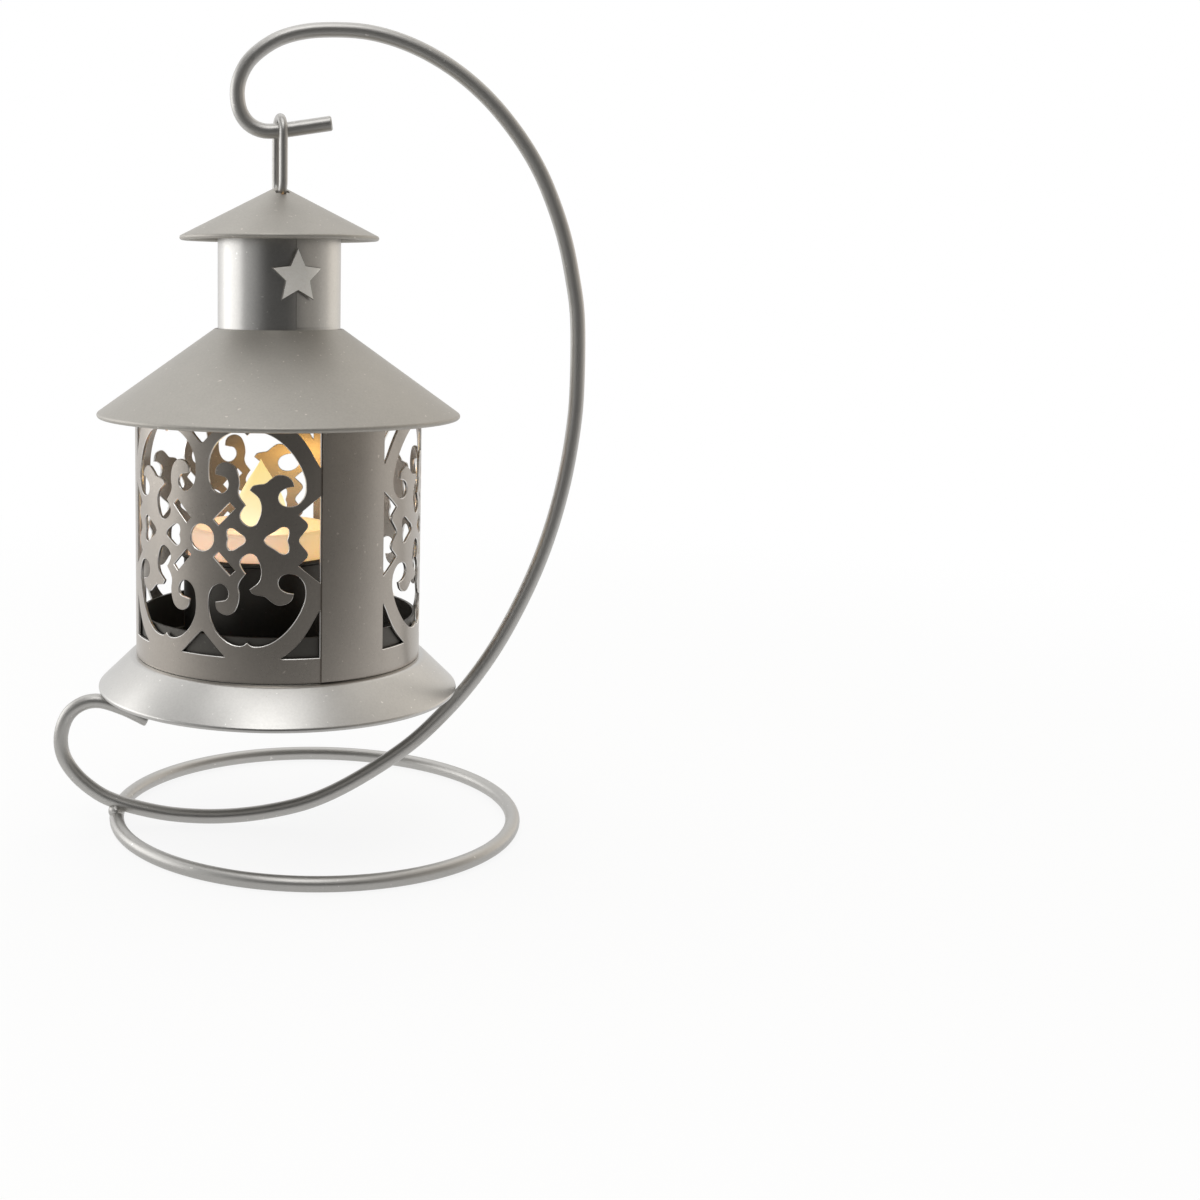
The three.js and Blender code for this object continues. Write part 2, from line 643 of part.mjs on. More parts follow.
// Flame tip: a hollow teardrop, r = k sin(t) sin(t/2)^1.5 from its tip at t = 0 to its neck.
const flameZ = dishZ - candleWall;
function tearLine(radius, height, neck, bottomZ) {
  const widest = 0.7;
  const line = [];
  const steps = 10;
  for (let i = 0; i <= steps; i++) {
    const t = (i / steps) * Math.PI;
    const r = (radius / widest) * Math.sin(t) * Math.sin(t / 2) ** 1.5;
    if (t > 2 && r < neck) break;
    line.push(point(i === 0 ? 0 : r, bottomZ + (height * (1 + Math.cos(t))) / 2));
  }
  return line;
}
const flameOuter = tearLine(flameRadius, flameHeight, flameNeckRadius, dishZ);
const flameInner = tearLine(flameRadius - flameWall, flameHeight - 3 * flameWall,
  flameNeckRadius - flameWall, dishZ + flameWall);
const flameSection = [
  ...flameOuter,
  point(flameNeckRadius, dishZ + seatGap),
  point(flameNeckRadius, flameZ - flameNeckLength),
  point(flameNeckRadius - flameWall, flameZ - flameNeckLength),
  point(flameNeckRadius - flameWall, dishZ + flameWall + seatGap),
  ...flameInner.reverse(),
];
addPiece('flame_tip', turned(flameSection, smallFacets / 2, cupX), glow());

function disc(radius, bottom, thickness, facets = smallFacets) {
  const section = [point(0, bottom), point(radius, bottom), point(radius, bottom + thickness),
    point(0, bottom + thickness)];
  return turned(section, facets, cupX);
}

// Inside the candle, from the door up: cell, contact, board, post and lamp.
const doorRadius = cellRadius + doorMargin;
const cellZ = candleZ + plateThickness + seatGap;
const contactZ = cellZ + cellThickness + seatGap;
const boardZ = contactZ + contactThickness + seatGap;
const postZ = boardZ + boardThickness + seatGap;
const postTopZ = flameZ - flameNeckLength - seatGap;
const postRadius = ledRadius + seatGap + postWall;

const plateShape = new THREE.Shape();
plateShape.absarc(0, 0, candleInner - seatGap, 0, 2 * Math.PI);
const doorHole = new THREE.Path();
doorHole.absarc(0, 0, doorRadius + seatGap, 0, 2 * Math.PI);
const switchRun = switchLength + switchTravel + 2 * seatGap;
const switchHole = new THREE.Path();
switchHole.moveTo(-switchLength / 2 - seatGap, switchReach - switchWidth / 2 - seatGap);
switchHole.lineTo(-switchLength / 2 - seatGap + switchRun, switchReach - switchWidth / 2 - seatGap);
switchHole.lineTo(-switchLength / 2 - seatGap + switchRun, switchReach + switchWidth / 2 + seatGap);
switchHole.lineTo(-switchLength / 2 - seatGap, switchReach + switchWidth / 2 + seatGap);
plateShape.holes.push(doorHole, switchHole);
const plate = new THREE.ExtrudeGeometry(plateShape, {
  depth: plateThickness, bevelEnabled: false, curveSegments: smallFacets / 2 });
addPiece('bottom_plate', closed(plate.translate(cupX, 0, candleZ)), plastic());

const coinSlot = new THREE.BoxGeometry(doorRadius, doorSlotWidth, 2 * doorSlotDepth);
const door = solid(disc(doorRadius, candleZ, plateThickness))
  .subtract(solid(coinSlot.translate(cupX, 0, candleZ)));
addPiece('battery_door', geometryOf(door), plastic());
addPiece('coin_cell', disc(cellRadius, cellZ, cellThickness), steel());
const contact = new THREE.BoxGeometry(2 * cellRadius, contactWidth, contactThickness);
addPiece('cell_contact', closed(contact.translate(cupX, 0, contactZ + contactThickness / 2)), steel());
addPiece('circuit_board', disc(boardRadius, boardZ, boardThickness), boardGreen());
addPiece('lamp_post', tube(postRadius, postWall, postZ, postTopZ, smallFacets / 2, cupX), plastic());

const lampZ = postTopZ - ledRadius;
const lampSection = [
  point(0, lampZ),
  point(ledRadius, lampZ),
  point(ledRadius, lampZ + ledHeight - ledRadius),
];
for (let i = 1; i <= 4; i++) {
  const turn = (i / 4) * (Math.PI / 2);
  lampSection.push(point(i === 4 ? 0 : ledRadius * Math.cos(turn),
    lampZ + ledHeight - ledRadius + ledRadius * Math.sin(turn)));
}
addPiece('lamp', turned(lampSection, 16, cupX), glow());

const slider = new THREE.BoxGeometry(switchLength, switchWidth, switchHeight);
slider.translate(cupX, switchReach, candleZ + switchRecess + switchHeight / 2);
addPiece('switch_slider', closed(slider), plastic());

export default lantern;
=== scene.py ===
"""Hanging candle lantern: a pierced metal lantern with a flameless candle, on an S-shaped wire stand.

Laid out as an add-on: property groups hold the sizes and finishes, each operator makes one piece
or group of pieces, and main() runs them in order. Everything is in metres, in the frame's own place.
"""

import math

import bmesh
import bpy
import numpy as np
from mathutils import Matrix, Vector
from mathutils.geometry import delaunay_2d_cdt


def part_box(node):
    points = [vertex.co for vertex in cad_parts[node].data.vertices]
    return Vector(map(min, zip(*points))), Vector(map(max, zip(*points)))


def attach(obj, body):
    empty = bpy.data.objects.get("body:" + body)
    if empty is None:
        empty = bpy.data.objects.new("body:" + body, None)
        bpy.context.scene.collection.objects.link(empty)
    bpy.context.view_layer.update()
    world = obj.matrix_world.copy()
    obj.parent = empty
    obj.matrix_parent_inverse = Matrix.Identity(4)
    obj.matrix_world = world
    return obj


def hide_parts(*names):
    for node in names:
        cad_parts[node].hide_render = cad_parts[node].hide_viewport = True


bl_info = {
    "name": "Hanging candle lantern",
    "version": (1, 0, 0),
    "blender": (4, 5, 0),
    "location": "View3D > Sidebar > Lantern",
    "description": "Builds a pierced metal lantern on a wire stand",
    "category": "Add Mesh",
}

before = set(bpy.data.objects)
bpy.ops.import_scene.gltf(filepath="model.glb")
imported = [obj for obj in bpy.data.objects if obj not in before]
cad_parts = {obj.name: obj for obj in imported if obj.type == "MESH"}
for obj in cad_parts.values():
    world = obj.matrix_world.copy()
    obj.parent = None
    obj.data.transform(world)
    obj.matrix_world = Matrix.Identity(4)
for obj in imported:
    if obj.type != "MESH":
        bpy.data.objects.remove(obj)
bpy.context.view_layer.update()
MM = 0.001
TURN = 2 * math.pi
CREASE = math.radians(35)
TINY = 1e-9


def box_mm(node):
    """A frame node's lowest and highest corners, in millimetres."""
    low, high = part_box(node)
    return np.array(low) / MM, np.array(high) / MM


def half_width(node):
    """Half of a frame node's reach from front to back."""
    low, high = box_mm(node)
    return (high[1] - low[1]) / 2


def middle(node):
    """The middle of a frame node's box, seen from above."""
    low, high = box_mm(node)
    return (low + high)[:2] / 2


HANG_X, HANG_Y = middle("main_roof")
CUP_X = middle("candle_cup")[0]


# Curves and outlines


def catmull_rom(points, spacing, per_span=24):
    """A centripetal Catmull-Rom curve through the points, at even steps of about the spacing.

    Each span runs from t1 to t2 of knots set apart by the square root of the points' distances, and
    its points are the blend of blends of the four points round it. The end knots mirror the first
    and last spans.
    """
    points = np.asarray(points, float)
    knots = np.vstack([2 * points[0] - points[1], points, 2 * points[-1] - points[-2]])
    fine = []
    for p0, p1, p2, p3 in zip(knots, knots[1:], knots[2:], knots[3:]):
        t1 = max(np.linalg.norm(p1 - p0), TINY) ** 0.5
        t2 = t1 + max(np.linalg.norm(p2 - p1), TINY) ** 0.5
        t3 = t2 + max(np.linalg.norm(p3 - p2), TINY) ** 0.5
        t = np.linspace(t1, t2, per_span, endpoint=False)[:, None]
        a1 = (t1 - t) / t1 * p0 + t / t1 * p1
        a2 = (t2 - t) / (t2 - t1) * p1 + (t - t1) / (t2 - t1) * p2
        a3 = (t3 - t) / (t3 - t2) * p2 + (t - t2) / (t3 - t2) * p3
        b1 = (t2 - t) / t2 * a1 + t / t2 * a2
        b2 = (t3 - t) / (t3 - t1) * a2 + (t - t1) / (t3 - t1) * a3
        fine.append((t2 - t) / (t2 - t1) * b1 + (t - t1) / (t2 - t1) * b2)
    return evenly(np.vstack([*fine, points[-1:]]), spacing)


def evenly(line, spacing):
    """The line walked again in equal steps of about the spacing, both ends kept."""
    steps = np.linalg.norm(np.diff(line, axis=0), axis=1)
    reach = np.concatenate([[0], np.cumsum(steps)])
    count = max(int(round(reach[-1] / spacing)), 1)
    wanted = np.linspace(0, reach[-1], count + 1)
    return np.stack([np.interp(wanted, reach, column) for column in line.T], axis=1)


def polygon(corners, spacing):
    """A closed outline of straight sides between the corners, in steps of about the spacing."""
    sides = zip(corners, np.roll(corners, -1, axis=0))
    return np.vstack([evenly(np.vstack(side), spacing)[:-1] for side in sides])


def full_turn(count):
    """Angles in even steps once round."""
    return np.arange(count) * TURN / count


def rounded(line, radii, steps=8):
    """A line of straight runs whose inner corners are arcs: each corner is cut back along both runs
    by r tan(half the turn) and filled by points of the circle that touches both."""
    line = np.asarray(line, float)
    out = [line[0]]
    for before, corner, after, radius in zip(line, line[1:], line[2:], radii):
        into = (corner - before) / np.linalg.norm(corner - before)
        away = (after - corner) / np.linalg.norm(after - corner)
        turn = math.atan2(into[0] * away[1] - into[1] * away[0], float(into @ away))
        if radius <= 0 or abs(turn) < 1e-6:
            out.append(corner)
            continue
        start = corner - into * radius * math.tan(abs(turn) / 2)
        side = math.copysign(1, turn) * np.array([-into[1], into[0]])
        centre = start + side * radius
        angles = np.linspace(0, turn, steps)
        arm = start - centre
        out.extend(centre + np.stack([arm[0] * np.cos(angles) - arm[1] * np.sin(angles),
                                      arm[0] * np.sin(angles) + arm[1] * np.cos(angles)], axis=1))
    out.append(line[-1])
    return np.array(out)


def sheet_section(line, thickness, bead=0.0, bead_steps=24):
    """The closed section of a sheet that follows a line of (radius, height): the line moved half the
    thickness to each side along its own normal. The far end may be rolled under to a round bead
    that touches the upper face's line."""
    line = np.asarray(line, float)
    ahead = np.diff(line, axis=0)
    ahead /= np.linalg.norm(ahead, axis=1)[:, None]
    along = np.vstack([ahead[:1], ahead[:-1] + ahead[1:], ahead[-1:]])
    along /= np.linalg.norm(along, axis=1)[:, None]
    inward = np.vstack([ahead[:1], ahead])
    least_cosine = 0.4
    mitre = thickness / 2 / np.maximum((along * inward).sum(axis=1), least_cosine)
    across = np.stack([-along[:, 1], along[:, 0]], axis=1) * mitre[:, None]
    left, right = line + across, line - across
    if bead <= 0:
        return np.vstack([right, left[::-1]])
    heading = math.atan2(ahead[-1][1], ahead[-1][0])
    centre = line[-1] + (bead - thickness / 2) * np.array([math.sin(heading), -math.cos(heading)])
    sweep = 1.5 * math.pi + math.asin((bead - thickness) / bead)
    turn = heading + math.pi / 2 - np.linspace(sweep, 0, bead_steps)
    end = centre + bead * np.stack([np.cos(turn), np.sin(turn)], axis=1)
    return np.vstack([right[:-1], end, left[:-1][::-1]])


def rim_end(outer, lowest, bead, thickness, slope):
    """Where a falling sheet's line ends so that its rolled rim reaches the outer radius and the lowest
    height: the bead's centre lies under the line by the bead's radius less half the thickness."""
    inset = bead - thickness / 2
    return outer - bead + inset * math.sin(slope), lowest + bead + inset * math.cos(slope)


# Meshes


def linked(name, data):
    """A new object in the scene that holds the data."""
    item = bpy.data.objects.new(name, data)
    bpy.context.scene.collection.objects.link(item)
    return item


def mesh_object(name, points, faces):
    """A mesh object at the origin from points in millimetres, faces out, smooth with sharp creases."""
    mesh = bpy.data.meshes.new(name)
    mesh.from_pydata((np.asarray(points) * MM).tolist(), [], [list(map(int, face)) for face in faces])
    made = bmesh.new()
    made.from_mesh(mesh)
    bmesh.ops.remove_doubles(made, verts=made.verts, dist=1e-7)
    bmesh.ops.recalc_face_normals(made, faces=made.faces)
    made.to_mesh(mesh)
    made.free()
    mesh.shade_smooth()
    mesh.set_sharp_from_angle(angle=CREASE)
    return linked(name, mesh)


def grid_faces(rows, columns, closed):
    """Quads of a grid whose columns close on themselves, and its rows too where asked."""
    row = np.arange(rows if closed else rows - 1)[:, None]
    column = np.arange(columns)[None, :]
    below, above = row * columns, (row + 1) % rows * columns
    beside = (column + 1) % columns
    return np.stack([below + column, below + beside, above + beside, above + column], axis=-1).reshape(-1, 4)


def skin(name, rings, poles=()):
    """A surface over rings of points. It closes on itself, or a fan joins each end ring to its pole."""
    rows, columns = rings.shape[:2]
    points = np.vstack([rings.reshape(-1, 3), *poles])
    faces = grid_faces(rows, columns, not len(poles)).tolist()
    if len(poles):
        column = np.arange(columns)
        beside = (column + 1) % columns
        last = (rows - 1) * columns
        pole = np.full(columns, rows * columns)
        faces += np.stack([column, beside, pole], axis=1).tolist()
        faces += np.stack([pole + 1, last + beside, last + column], axis=1).tolist()
    return mesh_object(name, points, faces)


def around_axis(centre_x, radius, angle, height):
    """Points (x + r sin a, y - r cos a, z) about an upright axis in the lantern's middle plane."""
    return np.stack(np.broadcast_arrays(centre_x + radius * np.sin(angle), HANG_Y - radius * np.cos(angle),
                                        height), axis=-1)


def turned(name, section, centre_x, around=160, on_axis=False):
    """A surface of revolution: the section's (r, z) carried round the axis. A section that starts and
    ends on the axis gets a pole at each end, any other closes on itself."""
    section = np.asarray(section, float)
    body = section[1:-1] if on_axis else section
    rings = around_axis(centre_x, body[:, :1], full_turn(around), body[:, 1:])
    return skin(name, rings, [[centre_x, HANG_Y, section[end][1]] for end in (0, -1)] if on_axis else ())


def swept(name, path, radius, across, sides=24, closed=False, chamfer=0.35):
    """A round wire: circles of the radius carried along a flat path, c(s) + r (cos a n + sin a w),
    where w is the direction across the path's plane and n is its turn in the plane. Open ends are
    cut square with a small chamfer."""
    centres = np.asarray(path, float)
    if closed:
        along = np.roll(centres, -1, axis=0) - np.roll(centres, 1, axis=0)
        radii = np.full(len(centres), radius)
    else:
        along = np.gradient(centres, axis=0)
        centres = np.vstack([centres[:1], centres, centres[-1:]])
        along = np.vstack([along[:1], along, along[-1:]])
        unit = along / np.linalg.norm(along, axis=1)[:, None]
        centres[1] += unit[0] * chamfer
        centres[-2] -= unit[-1] * chamfer
        radii = np.full(len(centres), radius)
        radii[[0, -1]] = radius - chamfer
    along = along / np.linalg.norm(along, axis=1)[:, None]
    across = np.asarray(across, float)
    inner = np.cross(across, along)
    angle = full_turn(sides)[None, :, None]
    ring = inner[:, None, :] * np.cos(angle) + across[None, None, :] * np.sin(angle)
    return skin(name, centres[:, None, :] + radii[:, None, None] * ring, () if closed else centres[[0, -1]])


def inside(points, loops):
    """Whether each point is inside the loops: a ray to the right crosses them an odd number of times."""
    start = np.vstack(loops)
    end = np.vstack([np.roll(loop, -1, axis=0) for loop in loops])
    x, y = points[:, :1], points[:, 1:]
    spans = (start[:, 1] > y) != (end[:, 1] > y)
    rise = np.where(end[:, 1] == start[:, 1], 1.0, end[:, 1] - start[:, 1])
    crossing = start[:, 0] + (y - start[:, 1]) * (end[:, 0] - start[:, 0]) / rise
    return (spans & (x < crossing)).sum(axis=1) % 2 == 1


def filled(loops, pitch):
    """Triangles that fill a flat outline round its holes: a constrained Delaunay triangulation of the
    loops with a grid of points at the pitch between them, less what is outside or in a hole."""
    loops = [np.asarray(loop, float) for loop in loops]
    border = np.vstack(loops)
    low, high = border.min(axis=0), border.max(axis=0)
    columns, rows = (np.arange(low[i] + pitch[i] / 2, high[i], pitch[i]) for i in (0, 1))
    grid = np.stack(np.meshgrid(columns, rows), axis=-1).reshape(-1, 2)
    nearest = np.min(np.linalg.norm(grid[:, None, :] - border[None, :, :], axis=2), axis=1)
    clear = 0.4 * min(pitch)
    grid = grid[(nearest > clear) & inside(grid, loops)]
    starts = np.cumsum([0, *[len(loop) for loop in loops]])
    rounds = [start + np.arange(len(loop)) for start, loop in zip(starts, loops)]
    edges = np.vstack([np.stack([at, np.roll(at, -1)], axis=1) for at in rounds])
    flat = [Vector(point) for point in np.vstack([border, grid]).tolist()]
    points, _, faces, *_ = delaunay_2d_cdt(flat, edges.tolist(), [], 0, 1e-6)
    points, faces = np.array([tuple(point) for point in points]), np.array(faces)
    a, b, c = (points[faces[:, i]] for i in range(3))
    area = (b - a)[:, 0] * (c - a)[:, 1] - (b - a)[:, 1] * (c - a)[:, 0]
    faces[area < 0] = faces[area < 0][:, ::-1]
    return points, faces[(np.abs(area) > 1e-7) & inside((a + b + c) / 3, loops)]


def bent_sheet(name, points, faces, half, chamfer, place):
    """A sheet from its filled flat pattern: both faces, half the thickness to each side, and a wall with
    two chamfers along each free edge. place(u, v, w) bends flat points to their place, w across the
    sheet. The walls carry a mark, and the plating paints light on them: a highlight on the body, shade on the
    star."""
    sides = np.vstack([faces[:, [0, 1]], faces[:, [1, 2]], faces[:, [2, 0]]])
    _, index, count = np.unique(np.sort(sides, axis=1), axis=0, return_index=True, return_counts=True)
    free = sides[index[count == 1]]
    run = points[free[:, 1]] - points[free[:, 0]]
    out = np.stack([run[:, 1], -run[:, 0]], axis=1) / np.linalg.norm(run, axis=1)[:, None]
    normal = np.zeros_like(points)
    np.add.at(normal, free[:, 0], out)
    np.add.at(normal, free[:, 1], out)
    size = np.linalg.norm(normal, axis=1)
    normal[size > TINY] /= size[size > TINY][:, None]
    inset = points - normal * chamfer
    total = len(points)
    layers = [(inset, half), (points, half - chamfer), (points, chamfer - half), (inset, -half)]
    solid = np.vstack([place(flat[:, 0], flat[:, 1], offset) for flat, offset in layers])
    walls = np.vstack([np.stack([free[:, 1] + upper * total, free[:, 0] + upper * total,
                                 free[:, 0] + (upper + 1) * total, free[:, 1] + (upper + 1) * total], axis=1)
                       for upper in range(3)])
    skins = np.vstack([faces, faces[:, ::-1] + 3 * total])
    piece = mesh_object(name, solid, skins.tolist() + walls.tolist())
    mark = piece.data.attributes.new("cut_edge", "FLOAT", "FACE")
    mark.data.foreach_set("value", np.repeat([0.0, 1.0], [len(skins), len(walls)]).astype(np.float32))
    return piece


# Sizes and finishes that a user would change


def length(name, description, millimetres):
    return bpy.props.FloatProperty(name=name, description=description, default=millimetres * MM,
                                   min=0.0, unit="LENGTH", precision=4)


def colour(name, description, value):
    return bpy.props.FloatVectorProperty(name=name, description=description, default=value,
                                         subtype="COLOR", size=3, min=0.0, max=1.0)


def share(name, description, value):
    return bpy.props.FloatProperty(name=name, description=description, default=value, min=0.0, max=1.0,
                                   subtype="FACTOR")


class LanternStandSizes(bpy.types.PropertyGroup):
    wire: length("Wire", "Diameter of the S wire", 4.0)
    ring_wire: length("Ring wire", "Diameter of the ring foot's wire", 4.0)
    ring: length("Ring", "Radius of the ring foot, to the middle of its wire", 55.4)
    bow: length("Bow", "Reach of the bow from the ring's centre", 70.1)
    bow_height: length("Bow height", "Height at which the bow is widest", 127.0)
    crown: length("Crown", "Height of the top of the wire's line", 216.3)
    seat: length("Seat", "Height of the hook's lowest point", 190.1)
    curl: length("Foot curl", "Reach of the curl at the foot", 70.4)
    curl_height: length("Foot curl height", "Height of the curl at the foot", 34.9)
    link_wire: length("Link wire", "Diameter of the link's wire", 2.3)
    link_bend: length("Link bend", "Radius of the link's bends, to the middle of the wire", 4.4)


class LanternSheetSizes(bpy.types.PropertyGroup):
    sheet: length("Sheet", "Thickness of the sheet metal", 0.8)
    cut: length("Cut edge", "Chamfer on the cut edges of the sheet", 0.14)
    roof_bead: length("Roof rim", "Radius of the rolled rims of roof and base", 0.8)
    cap_bead: length("Cap rim", "Radius of the cap's rolled rim", 0.7)
    lap: length("Lap", "How far the lapped end of a sheet stands out", 0.6)
    body: length("Body", "Outer radius of the pierced body", 38.66)
    chimney: length("Chimney", "Outer radius of the chimney", 16.5)
    star: length("Star", "Radius of the star's points", 7.4)
    star_waist: length("Star waist", "Radius of the star's inner corners", 3.5)


class LanternFinish(bpy.types.PropertyGroup):
    sheet: colour("Sheet", "Plated sheet metal", (0.41, 0.39, 0.355))
    body: colour("Body sheet", "Browner plating of the pierced body", (0.41, 0.375, 0.335))
    # Painted light: a lighter copy of the sheet's tone for chimney and flare, which stand where more light
    # falls.
    bright: colour("Bright sheet", "Lighter plating of chimney and flare", (0.53, 0.52, 0.50))
    wire: colour("Wire", "Plated wire", (0.47, 0.46, 0.44))
    # Painted highlight: a pale tone for the cut edges of the pierced body, for the light that their faces
    # catch.
    cut_edge: colour("Cut edge", "Bright cut edges of the sheet", (0.82, 0.80, 0.77))
    wax: colour("Wax", "Candle shell", (0.97, 0.82, 0.71))
    glow: colour("Glow", "Light of the flame", (1.0, 0.80, 0.32))
    warmth: colour("Warmth", "Light of the flame through the wax", (1.0, 0.68, 0.46))
    lamplight: colour("Lamplight", "Light that the flame throws on the metal round it", (1.0, 0.55, 0.14))
    roughness: share("Roughness", "Roughness of the plated metal", 0.30)


GROUPS = {"lantern_stand": LanternStandSizes, "lantern_sheet": LanternSheetSizes,
          "lantern_finish": LanternFinish}


def sizes(group):
    """A property group's lengths as plain numbers in millimetres, by name."""
    held = getattr(bpy.context.scene, group)
    return {name: getattr(held, name) / MM for name in GROUPS[group].__annotations__}


# Materials


def math_node(operation, swapped=False):
    """A method that adds a Math node of the operation, with its two values swapped where asked."""
    def method(self, other):
        first, second = (other, self) if swapped else (self, other)
        return self.shader.add("ShaderNodeMath", {"operation": operation}, {0: first, 1: second}, "Value")
    return method


class Value:
    """A socket of a shader. Arithmetic on it adds the Math nodes that work it out."""

    def __init__(self, shader, socket):
        self.shader = shader
        self.socket = socket

    __add__ = __radd__ = math_node("ADD")
    __mul__ = __rmul__ = math_node("MULTIPLY")
    __sub__ = math_node("SUBTRACT")
    __rsub__ = math_node("SUBTRACT", swapped=True)
    __truediv__ = math_node("DIVIDE")

    def step(self, low, high):
        """0 below low, 1 above high, and a smooth rise between."""
        return self.shader.add("ShaderNodeMapRange", {"interpolation_type": "SMOOTHSTEP"},
                               {"Value": self, "From Min": low, "From Max": high}, "Result")


class Shader:
    """A material, or the world, whose nodes are added one by one."""

    def __init__(self, owner):
        owner.use_nodes = True
        self.tree = owner.node_tree
        self.tree.nodes.clear()

    def add(self, kind, settings=None, inputs=None, output=0):
        """A node of a kind, with its settings made first and then its inputs, and one of its outputs."""
        node = self.tree.nodes.new(kind)
        for name, value in (settings or {}).items():
            setattr(node, name, value)
        for name, value in (inputs or {}).items():
            if isinstance(value, Value):
                self.tree.links.new(value.socket, node.inputs[name])
            else:
                node.inputs[name].default_value = value
        return Value(self, node.outputs[output])

    def place(self):
        return self.add("ShaderNodeTexCoord", output="Object")

    def axis(self, name, vector=None):
        """One part of a vector, of the object's own coordinates where none is given."""
        return self.add("ShaderNodeSeparateXYZ", inputs={"Vector": vector or self.place()}, output=name)

    def along(self, name, low, high):
        """How far a point is along an axis between a box's corners, from 0 to 1."""
        start, end = getattr(low, name.lower()), getattr(high, name.lower())
        return (self.axis(name) - start) / (end - start)

    def noise(self, size, detail=2.0):
        """Noise from 0 to 1 with lumps of about the size in metres."""
        inputs = {"Vector": self.place(), "Scale": 1 / size, "Detail": detail}
        return self.add("ShaderNodeTexNoise", inputs=inputs, output="Fac")

    def ray(self, kind):
        """1 for rays of the kind, such as Camera or Glossy, and 0 for others."""
        return self.add("ShaderNodeLightPath", output=f"Is {kind} Ray")

    def tint(self, mask, low, high):
        """One colour where the mask is 0 and the other where it is 1."""
        ends = [value if isinstance(value, Value) else (*value, 1.0) for value in (low, high)]
        return self.add("ShaderNodeMix", {"data_type": "RGBA"}, {0: mask, 6: ends[0], 7: ends[1]}, 2)

    def bump(self, height, distance, strength=1.0):
        inputs = {"Height": height, "Distance": distance, "Strength": strength}
        return self.add("ShaderNodeBump", inputs=inputs, output="Normal")

    def surface(self, value, kind="ShaderNodeOutputMaterial"):
        self.tree.links.new(value.socket, self.tree.nodes.new(kind).inputs["Surface"])

    def principled(self, inputs):
        self.surface(self.add("ShaderNodeBsdfPrincipled", inputs=inputs, output="BSDF"))


def scaled(tone, factor):
    return tuple(min(channel * factor, 1.0) for channel in tone)


def plated_metal(shader, tone, painted_edge_tone, roughness, grain_depth=0.4, metallic=1.0, mottle=0.2):
    """Satin plating: clouded a few per cent in tone, with a fine grain, faint rubbed patches and pale
    specks. A face marked as a cut edge takes a tone of painted light: a pale one is a painted highlight, a
    dark one painted shade."""
    cloud = shader.noise(0.022, 3.0)
    patch = shader.noise(0.007)
    grain = shader.noise(0.00035)
    sand = shader.noise(0.0006, 1.0)
    mix = cloud * 0.4 + patch * 0.2 + sand * 0.4
    base = shader.tint(mix, scaled(tone, 1 - mottle), scaled(tone, 1 + mottle))
    speck = shader.noise(0.0009, 0.0).step(0.81, 0.85)
    base = shader.tint(speck * 0.5, base, scaled(tone, 1.8))
    # Painted light on the cut edges: a pale edge tone is a painted highlight, a dark one painted shade.
    if painted_edge_tone:
        edge = shader.add("ShaderNodeAttribute", {"attribute_name": "cut_edge"}, output="Fac")
        base = shader.tint(edge, base, painted_edge_tone)
    shader.principled({"Base Color": base, "Metallic": metallic,
                       "Roughness": roughness + (cloud - 0.5) * 0.05 + (grain - 0.5) * 0.12,
                       "Normal": shader.bump(grain * 0.7 + patch * 0.3, 0.00003, grain_depth)})


def peach_wax(shader, tone, warmth):
    """Wax over plastic: peach, with a faint mottle, and a painted glow of light from within, stronger towards
    the top and deeper orange towards +X.
    """
    low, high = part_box("candle_shell")
    mottle = shader.noise(0.006, 3.0)
    warm = shader.tint(shader.along("X", low, high).step(0.45, 1.0), warmth, (1.0, 0.68, 0.24))
    lit = shader.along("Z", low, high).step(0.35, 1.0) * 0.30 + 0.29
    shader.principled({
        "Base Color": shader.tint(mottle, scaled(tone, 0.95), scaled(tone, 1.04)),
        "Roughness": mottle * 0.12 + 0.44,
        "Subsurface Weight": 0.35, "Subsurface Radius": (0.006, 0.003, 0.0015), "Subsurface Scale": 1.0,
        "Emission Color": shader.tint(lit, (0.0, 0.0, 0.0), warm), "Emission Strength": 1.0,
        "Normal": shader.bump(shader.noise(0.002), 0.00006, 0.4)})


def flame_light(shader, glow):
    """The moulded flame: almost white where the lamp is behind it, deeper yellow at its tip and edge."""
    low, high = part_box("flame_tip")
    ripple = shader.noise(0.004, 1.0)
    heart = (shader.along("Z", low, high) + (ripple - 0.5) * 0.2).step(0.25, 0.95)
    shader.principled({
        "Base Color": shader.tint(heart, (0.55, 0.42, 0.22), (0.5, 0.34, 0.12)),
        "Roughness": ripple * 0.1 + 0.3,
        "Emission Color": shader.tint(heart, (1.0, 0.90, 0.58), glow), "Emission Strength": 0.88,
        "Normal": shader.bump(ripple, 0.0001, 0.3)})


def moulded(shader, tone, roughness=0.45, metallic=0.0, grain_size=0.0006):
    """Moulded plastic or rolled metal: a few per cent of cloud in the tone and a fine grain."""
    cloud = shader.noise(0.008)
    grain = shader.noise(grain_size, 1.0)
    shader.principled({
        "Base Color": shader.tint(cloud, scaled(tone, 0.94), scaled(tone, 1.05)), "Metallic": metallic,
        "Roughness": roughness + (grain - 0.5) * 0.12, "Normal": shader.bump(grain, 0.00003, 0.4)})


def look(name, maker, *settings, **more):
    """The named material, made once: the maker adds its nodes."""
    made = bpy.data.materials.get(name)
    if not made:
        made = bpy.data.materials.new(name)
        maker(Shader(made), *settings, **more)
    return made


def finish(piece, material, body, slot, *replaced):
    """Gives a new piece its material and the body it rides on, and hides the nodes it stands for. The slot is
    not used.
    """
    piece.data.materials.append(material)
    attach(piece, body)
    if replaced:
        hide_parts(*replaced)
